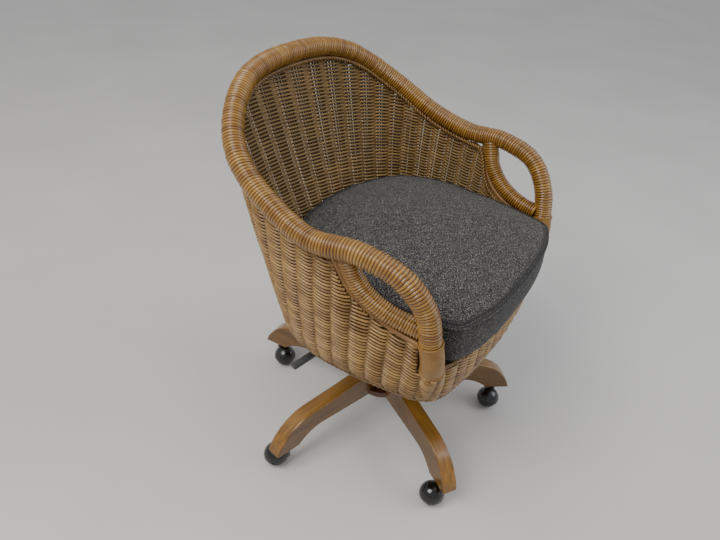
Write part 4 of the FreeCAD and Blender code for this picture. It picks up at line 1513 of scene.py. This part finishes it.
@dataclass
class RimTrim(Assembly):
    """Rope border and lowest row under the weave, braid and last row at its rim, plait on the apron."""

    centre: Tuple[float, float] = (0.0, -45.0 * MM)
    slices: int = 420
    step: float = 2.6 * MM
    path_window: int = 5
    strand_sides: int = 8
    border: Lay = Lay(15.0 * MM, 3, 3.4 * MM, 3.2 * MM, Part.BORDER)
    braid: Lay = Lay(7.5 * MM, 2, 2.5 * MM, 2.4 * MM, Part.BRAID)
    row: Lay = Lay(16.0 * MM, 2, 2.5 * MM, 2.4 * MM, Part.WEAVE)
    plait: Lay = Lay(9.0 * MM, 3, 2.3 * MM, 2.3 * MM, Part.BRAID)
    last_out: float = 9.5 * MM
    last_drop: float = 2.5 * MM
    foot_out: float = 2.5 * MM
    foot_rise: float = 7.0 * MM
    plait_height: float = 429.0 * MM
    plait_drop: float = 3.0 * MM
    plait_inset: float = 5.0 * MM
    plait_spread: float = 1.1

    def __post_init__(self) -> None:
        """Sets the foot of the shell's axis."""
        self.middle = np.array([*self.centre, 0.0])

    def centre_line(self, node: str) -> np.ndarray:
        """Middle of a round CAD node, from slices by upright planes about the shell's axis.

        Args:
            node: the node's name.

        Returns:
            The points of its middle line.
        """
        tri = triangles(self.frame["nodes"][node].data) - self.middle
        edges = np.concatenate([tri[:, (0, 1)], tri[:, (1, 2)], tri[:, (2, 0)]])
        found = []
        for angle in np.linspace(-0.5 * math.pi, 1.5 * math.pi, self.slices, endpoint=False):
            way = level_way(angle)
            side = np.array([-way[1], way[0], 0.0])
            first, second = edges[:, 0] @ side, edges[:, 1] @ side
            cut = (first * second < 0.0) & (edges[:, 0] @ way > 0.0)
            if not cut.any():
                continue
            share = (first[cut] / (first[cut] - second[cut]))[:, None]
            spots = edges[cut, 0] + (edges[cut, 1] - edges[cut, 0]) * share
            found.append(0.5 * (spots.min(0) + spots.max(0)) + self.middle)
        return np.array(found)

    def rope(self, name: str, path: np.ndarray, closed: bool, lay: Lay) -> bpy.types.Object:
        """Strands twisted about a path.

        Args:
            name: the piece's name.
            path: the middle line.
            closed: whether the path is a ring.
            lay: how the rope is laid.

        Returns:
            The piece.
        """
        if closed:
            path = np.vstack([path, path[:1]])
        path = resampled(softened(path, self.path_window, False), self.step)
        run = lengths(path)
        turns = run[-1] / lay.half_turn
        if closed:
            turns = round(turns / 2.0) * 2.0
        beats = turns * run / run[-1]
        if closed:
            path, beats = path[:-1], beats[:-1]
            along = unit(np.roll(path, -1, 0) - np.roll(path, 1, 0))
        else:
            along = unit(np.gradient(path, axis=0))
        away = path - self.middle
        away[:, 2] = 0.0
        rise = upward(away, along)
        out = np.cross(along, rise)
        out *= np.sign(np.einsum("ij,ij->i", out, away))[:, None]
        line = Line(path, closed, {"beat": beats}, {"out": out, "rise": rise})
        return self.run(name, [line], twined_strands_tree(lay.strands, self.strand_sides), lay.part,
                        {"Strand Radius": lay.radius, "Reach": lay.reach, "Lift": lay.reach})

    def pushed_out(self, path: np.ndarray, out: float, rise: float) -> np.ndarray:
        """A trim's line moved into the wall's edge.

        Args:
            path: the trim's middle line.
            out: how far it moves away from the axis.
            rise: how far it moves up.

        Returns:
            The moved line.
        """
        ways = path - self.middle
        ways[:, 2] = 0.0
        return path + unit(ways) * out + UP * rise

    def plait_path(self) -> np.ndarray:
        """Middle of the apron's top edge, from post to post.

        Returns:
            The line's points.
        """
        skin = Skin(self.frame, self.centre, "front_apron")
        front = -0.5 * math.pi
        found = []
        for angle in np.linspace(front - self.plait_spread, front + self.plait_spread, self.slices):
            hit = skin.seen(level_way(angle), self.plait_height - self.plait_drop)
            if hit is not None:
                found.append(hit[0] - hit[1] * self.plait_inset + UP * self.plait_drop)
        return np.array(found)

    def build(self) -> None:
        """Makes the trims."""
        foot = self.centre_line("bottom_border")
        rim = self.centre_line("rim_braid")
        low = self.pushed_out(foot, self.foot_out, self.foot_rise)
        high = self.pushed_out(rim, self.last_out, -self.last_drop)
        place(self.rope("bottom_rope", foot, True, self.border), "seat", "border_cane", "bottom_border")
        place(self.rope("lowest_row", low, True, self.row), "seat", "weave", "woven_wall", "front_apron")
        place(self.rope("rim_twist", rim, False, self.braid), "seat", "braid", "rim_braid")
        place(self.rope("last_row", high, False, self.row), "seat", "weave", "woven_wall")
        place(self.rope("apron_plait", self.plait_path(), False, self.plait), "seat", "weave", "front_apron")


@dataclass
class WrappedPoles(Assembly):
    """The bent pole, the two loop poles and the bands at the posts' sheaths, all wound with cane."""

    half_width: float = 313.0 * MM
    back: float = 309.0 * MM
    top: float = 806.0 * MM
    rail_radius: float = 17.7 * MM
    pole_radius: float = 14.7 * MM
    crown: float = 2.4 * MM
    wrap_pitch: float = 5.7 * MM
    post_pitch: float = 5.0 * MM
    pole_pitch: float = 5.4 * MM
    pitch_start: float = 460.0 * MM
    pitch_growth: float = 120.0 * MM
    rings_per_wrap: int = 7
    sides: int = 26
    band_turns: float = 2.0
    band_points: int = 36
    band_sides: int = 8
    band_sink: float = 0.4
    band_reach: int = 3
    band_cane: float = 1.1 * MM
    sheath_radius: float = 21.0 * MM
    rail_shares: Tuple[Point, ...] = (
        (0.706, -0.655, 0.442), (0.776, -0.676, 0.491), (0.837, -0.693, 0.546), (0.867, -0.693, 0.587),
        (0.882, -0.673, 0.629), (0.898, -0.625, 0.701), (0.940, -0.490, 0.7655), (0.970, -0.260, 0.7915),
        (1.000, 0.065, 0.785), (0.972, 0.330, 0.812), (0.885, 0.665, 0.882), (0.560, 0.915, 0.972),
        (0.000, 1.000, 1.000))
    pole_shares: Tuple[Point, ...] = (
        (0.968, -0.142, 0.779), (0.955, -0.168, 0.752), (0.936, -0.207, 0.717), (0.917, -0.282, 0.684),
        (0.891, -0.395, 0.658), (0.866, -0.518, 0.645), (0.856, -0.620, 0.641))
    sheath_knots: Tuple[int, int] = (2, 4)

    def knots(self, shares: Tuple[Point, ...], side: float = -1.0) -> np.ndarray:
        """Places of a table of shares, on one side of the chair."""
        return np.array(shares) * np.array([side * self.half_width, self.back, self.top])

    def rail_knots(self) -> np.ndarray:
        """Places of the whole bent pole, from the sitter's right foot to the left one."""
        right = self.knots(self.rail_shares)
        return np.vstack([right, right[-2::-1] * np.array([-1.0, 1.0, 1.0])])

    def wound(self, name: str, knots: np.ndarray, radius: float, pitch: Callable[[np.ndarray], np.ndarray],
              replaced: str) -> None:
        """Makes one wound pole along its knots.

        Args:
            name: the piece's name.
            knots: the places that the pole passes.
            radius: the pole's radius under the crowns.
            pitch: gives the width of a wrap at each point.
            replaced: the CAD node that it stands for.
        """
        path = smooth_line(knots, self.post_pitch / self.rings_per_wrap)
        run = lengths(path)
        turns = np.concatenate([[0.0], np.cumsum(np.diff(run) / pitch(path)[1:])])
        even = np.arange(0.0, turns[-1], 1.0 / self.rings_per_wrap)
        line = Line(read_at(even, turns, path), False, {"wraps": even})
        pole = self.run(name, [line], wrapped_pole_tree(self.sides), Part.WRAP,
                        {"Pole Radius": radius, "Crown": self.crown})
        place(pole, "seat", "cane_wrap", replaced)

    def rail_pitch(self, path: np.ndarray) -> np.ndarray:
        """Width of a wrap: narrower on the posts than along the arms and the back.

        Args:
            path: the pole's points.

        Returns:
            The width at each point.
        """
        blend = np.clip((path[:, 2] - self.pitch_start) / self.pitch_growth, 0.0, 1.0)
        return self.post_pitch + (self.wrap_pitch - self.post_pitch) * blend

    def loop_pitch(self, path: np.ndarray) -> np.ndarray:
        """Width of a wrap on the loop poles."""
        return np.full(len(path), self.pole_pitch)

    def bands(self) -> None:
        """A few turns of thin cane at the foot and the top of each sheath."""
        knots = self.rail_knots()
        path = smooth_line(knots, MM)
        lines = []
        for side in (1.0, -1.0):
            for index in self.sheath_knots:
                spot = knots[index] * np.array([side, 1.0, 1.0])
                nearest = int(np.argmin(np.linalg.norm(path - spot, axis=1)))
                along = path[nearest + self.band_reach] - path[nearest - self.band_reach]
                lines.append(self.band_line(path[nearest], unit(along)))
        bands = self.run("sheath_bands", lines, plain_tube_tree(self.band_sides), Part.SHEATH,
                         {"Tube Radius": self.band_cane})
        place(bands, "seat", "sheath_cane")

    def band_line(self, middle: np.ndarray, along: np.ndarray) -> Line:
        """Helix of a few close turns round a pole.

        Args:
            middle: the helix's middle.
            along: the pole's direction.

        Returns:
            The helix.
        """
        first = unit(np.cross(along, np.array([1.0, 0.0, 0.0])))
        second = np.cross(along, first)
        angle = np.linspace(0.0, TAU * self.band_turns, int(self.band_points * self.band_turns))
        rise = (angle / TAU - 0.5 * self.band_turns) * 2.0 * self.band_cane
        ring = first * np.cos(angle)[:, None] + second * np.sin(angle)[:, None]
        radius = self.sheath_radius + self.band_sink * self.band_cane
        return Line(middle + along * rise[:, None] + ring * radius)

    def build(self) -> None:
        """Makes every wound piece."""
        self.wound("wrapped_rail", self.rail_knots(), self.rail_radius, self.rail_pitch, "top_rail")
        for side, word in ((-1.0, "right"), (1.0, "left")):
            self.wound("wrapped_loop_" + word, self.knots(self.pole_shares, side), self.pole_radius,
                       self.loop_pitch, "loop_pole_" + word)
        self.bands()


@dataclass
class Cushion(Assembly):
    """Boxed tweed cushion, blown up between its two sewn seams."""

    centre: Tuple[float, float] = (0.0, -40.0 * MM)
    seam: float = 515.0 * MM
    lower_seam: float = 432.0 * MM
    voxel: float = 5.4 * MM
    start_inset: float = 3.0 * MM
    cap: float = 8.0 * MM
    frames: int = 20
    pin_reach: float = 4.5 * MM
    piping_radius: float = 3.0 * MM
    piping_inset: float = 1.6 * MM
    piping_sides: int = 8
    seam_window: int = 5
    rays: int = 420
    cloth: Dict[str, object] = field(default_factory=lambda: {
        "quality": 4, "mass": 0.3, "tension_stiffness": 12.0, "compression_stiffness": 12.0,
        "shear_stiffness": 6.0, "bending_stiffness": 0.6, "use_pressure": True,
        "uniform_pressure_force": 4.0})

    def seam_ring(self, height: float) -> Line:
        """Line of a seam round the cushion.

        Args:
            height: the seam's height.

        Returns:
            The line, a ring.
        """
        skin = Skin(self.frame, self.centre, "cushion")
        found = []
        for angle in np.linspace(0.0, TAU, self.rays, endpoint=False):
            way = level_way(angle)
            hit = skin.seen(way, height)
            if hit is not None:
                found.append(hit[0] - way * self.piping_inset)
        return Line(softened(np.array(found), self.seam_window, True), True)

    def inflate(self, pad: bpy.types.Object) -> None:
        """Cloth under pressure, held along both seams, with its travel capped.

        Args:
            pad: the cushion's pad.
        """
        start = vertex_places(pad.data)
        edge = [i for i, p in enumerate(start) if abs(p[2] - self.seam) < self.pin_reach]
        edge += [i for i, p in enumerate(start) if p[2] < self.lower_seam + self.pin_reach]
        group = pad.vertex_groups.new(name="seams")
        group.add(edge, 1.0, "REPLACE")
        cloth = pad.modifiers.new("cloth", "CLOTH")
        for name, value in self.cloth.items():
            setattr(cloth.settings, name, value)
        cloth.settings.vertex_group_mass = group.name
        cloth.settings.effector_weights.gravity = 0.0
        cloth.collision_settings.use_collision = False
        cloth.point_cache.frame_start = 1
        cloth.point_cache.frame_end = self.frames
        scene = bpy.context.scene
        for number in range(1, self.frames + 1):
            scene.frame_set(number)
        shown = pad.evaluated_get(bpy.context.evaluated_depsgraph_get())
        travel = vertex_places(shown.data) - start
        far = np.linalg.norm(travel, axis=1)
        LOG.info("cushion cloth moved %.1f mm at most", float(far.max()) / MM)
        travel *= np.minimum(1.0, self.cap / np.maximum(far, TINY))[:, None]
        pad.modifiers.remove(cloth)
        pad.vertex_groups.clear()
        scene.frame_set(1)
        pad.data.vertices.foreach_set("co", (start + travel).ravel())

    def shrink(self, pad: bpy.types.Object) -> None:
        """Draws the pad in along its normals, so that the cloth swells back to size."""
        for vertex, normal in [(v, v.normal.copy()) for v in pad.data.vertices]:
            vertex.co -= normal * self.start_inset

    def build(self) -> None:
        """Makes the pad and its piping."""
        pad = copy_of(self.frame["nodes"]["cushion"], "cushion_pad")
        mesh_again(pad, "REMESH", mode="VOXEL", voxel_size=self.voxel, use_smooth_shade=True)
        self.shrink(pad)
        self.inflate(pad)
        mesh_again(pad, "SUBSURF", levels=1, render_levels=1)
        paint(pad, self.wardrobe.get(Part.TWEED))
        place(pad, "seat", "tweed", "cushion")
        lines = [self.seam_ring(height) for height in (self.seam, self.lower_seam)]
        piping = self.run("cushion_piping", lines, plain_tube_tree(self.piping_sides), Part.TWEED,
                          {"Tube Radius": self.piping_radius})
        place(piping, "seat", "tweed", "cushion")


@dataclass
class PlainPieces(Assembly):
    """Every piece whose CAD shape is kept: base, casters, column, tilt unit and hidden deck."""

    leg_count: int = 5
    first_leg: float = 94.25

    def each(self, word: str) -> Tuple[str, ...]:
        """The names of a node that every leg has."""
        return tuple("%s_%d" % (word, n + 1) for n in range(self.leg_count))

    def nodes(self) -> Dict[Part, Tuple[str, ...]]:
        """Which nodes take which finish.

        Returns:
            The names of the nodes of each part.
        """
        return {
            Part.HUB: ("hub_disc", "hub_core"),
            Part.STEEL: ("leg_bolts", "caster_sockets", "thrust_bearing", "piston_rod", "tilt_pin",
                         "spring_cap", "tension_bolt", "lever_pin", "plate_screws",
                         *self.each("caster_stem"), *self.each("caster_axle")),
            Part.BLACK: ("column_tube", "gas_cylinder", "mechanism_housing", "tilt_plate", "lever_rod"),
            Part.PLASTIC: ("column_bushing", "valve_button", "tension_knob"),
            Part.GRIP: ("lever_grip",),
            Part.CASTER: self.each("caster_hood"),
            Part.WHEEL: self.each("caster_wheels"),
            Part.EDGING: ("edging_right", "edging_left"),
            Part.SHEATH: ("post_sheaths",),
            Part.POLE: ("seat_ring",),
            Part.PLY: ("seat_board",),
            Part.BATTEN: ("seat_battens",),
        }

    def build(self) -> None:
        """Gives each kept node its material."""
        for part, names in self.nodes().items():
            for name in names:
                dress(self.frame["nodes"][name], self.wardrobe.get(part))
        for i, name in enumerate(self.each("leg")):
            heading = self.first_leg + 360.0 / self.leg_count * i
            dress(self.frame["nodes"][name], self.wardrobe.leg(heading))


@dataclass
class TiltSpring(Assembly):
    """Coil spring of the tilt unit."""

    fixed_end: Point = (0.0, -82.0 * MM, 313.7 * MM)
    foot: Point = (0.0, -82.0 * MM, 259.7 * MM)
    wire: float = 4.5 * MM
    turns: int = 6
    points_per_turn: int = 32
    sides: int = 12

    def coil_line(self) -> Line:
        """Middle of the wire, inside the CAD coil's box.

        Returns:
            The coil's line.
        """
        low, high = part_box("tilt_spring")
        radius = 0.5 * (high.x - low.x - self.wire)
        middle = 0.5 * (high.y + low.y)
        angle = np.linspace(0.0, TAU * self.turns, self.points_per_turn * self.turns + 1)
        rise = np.linspace(low.z + 0.5 * self.wire, high.z - 0.5 * self.wire, len(angle))
        return Line(np.stack([radius * np.cos(angle), middle + radius * np.sin(angle), rise], 1))

    def build(self) -> None:
        """Winds the coil."""
        coil = self.run("coil_spring", [self.coil_line()], plain_tube_tree(self.sides), Part.STEEL,
                        {"Tube Radius": 0.5 * self.wire})
        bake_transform(coil)
        place(coil, "", "steel", "tilt_spring")


# Floor, light and camera
@dataclass(frozen=True)
class Lamp:
    """A soft square lamp that looks at a target."""

    name: str
    stand: Point
    target: Point
    size: float
    power: float
    colour: Colour

    def build(self) -> None:
        """Makes the lamp."""
        data = bpy.data.lights.new(self.name, "AREA")
        data.shape = "SQUARE"
        data.size = self.size
        data.energy = self.power
        data.color = self.colour
        turn = (Vector(self.target) - Vector(self.stand)).to_track_quat("-Z", "Y").to_matrix().to_4x4()
        linked(self.name, data).matrix_world = Matrix.Translation(self.stand) @ turn


@dataclass(frozen=True)
class Studio:
    """Floor, light and camera."""

    camera_place: Point = (-1.0212, -0.4753, 1.1800)
    camera_forward: Point = (0.7175, 0.3995, -0.5706)
    camera_roll: float = 6.42775
    lens: float = 31.28
    sensor: float = 36.0
    floor_half: float = 12.0
    sky_colour: Colour = srgb(238, 240, 244)
    sky_strength: float = 0.62
    lamps: Tuple[Lamp, ...] = (
        Lamp("window", (-1.6, 0.5, 2.6), (0.0, 0.0, 0.45), 1.6, 62.0, srgb(255, 252, 246)),
        Lamp("room", (1.4, -2.4, 2.4), (0.0, 0.0, 0.4), 2.2, 42.0, srgb(246, 248, 255)))

    def build(self) -> None:
        """Makes the floor, the sky, the lamps and the camera."""
        self.floor()
        self.sky()
        for lamp in self.lamps:
            lamp.build()
        self.camera()

    def floor(self) -> None:
        """A plain pale floor."""
        mesh = bpy.data.meshes.new("floor")
        h = self.floor_half
        mesh.from_pydata([(-h, -h, 0.0), (h, -h, 0.0), (h, h, 0.0), (-h, h, 0.0)], [], [(0, 1, 2, 3)])
        obj = linked("floor", mesh)
        s = Surface("floor")
        s.set(Base_Color=s.graph.mix(s.blotch(2.0), srgb(206, 204, 200), srgb(212, 210, 206)), Roughness=0.6)
        paint(obj, s.material)

    def sky(self) -> None:
        """Soft even light from all round."""
        world = bpy.data.worlds.new("room")
        bpy.context.scene.world = world
        world.use_nodes = True
        shade = next(n for n in world.node_tree.nodes if n.type == "BACKGROUND")
        shade.inputs["Color"].default_value = (*self.sky_colour, 1.0)
        shade.inputs["Strength"].default_value = self.sky_strength

    def camera(self) -> None:
        """The camera at the photo's viewing angle."""
        data = bpy.data.cameras.new("camera")
        data.lens = self.lens
        data.sensor_width = self.sensor
        data.sensor_fit = "HORIZONTAL"
        obj = linked("camera", data)
        forward = Vector(self.camera_forward).normalized()
        level_right = forward.cross(Vector(UP)).normalized()
        level_up = level_right.cross(forward)
        angle = math.radians(self.camera_roll)
        right = level_right * math.cos(angle) + level_up * math.sin(angle)
        up = level_up * math.cos(angle) - level_right * math.sin(angle)
        turn = Matrix((right, up, -forward)).transposed()
        obj.matrix_world = Matrix.Translation(self.camera_place) @ turn.to_4x4()
        bpy.context.scene.camera = obj


def main() -> None:
    """Builds the chair's looks round the frame."""
    logging.basicConfig(level=logging.INFO, format="%(name)s: %(message)s")
    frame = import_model()
    wardrobe = Wardrobe()
    Studio().build()
    for kind in (PlainPieces, TiltSpring, WovenShell, RimTrim, WrappedPoles, Cushion):
        kind(frame, wardrobe).build()


if __name__ == "__main__":
    main()
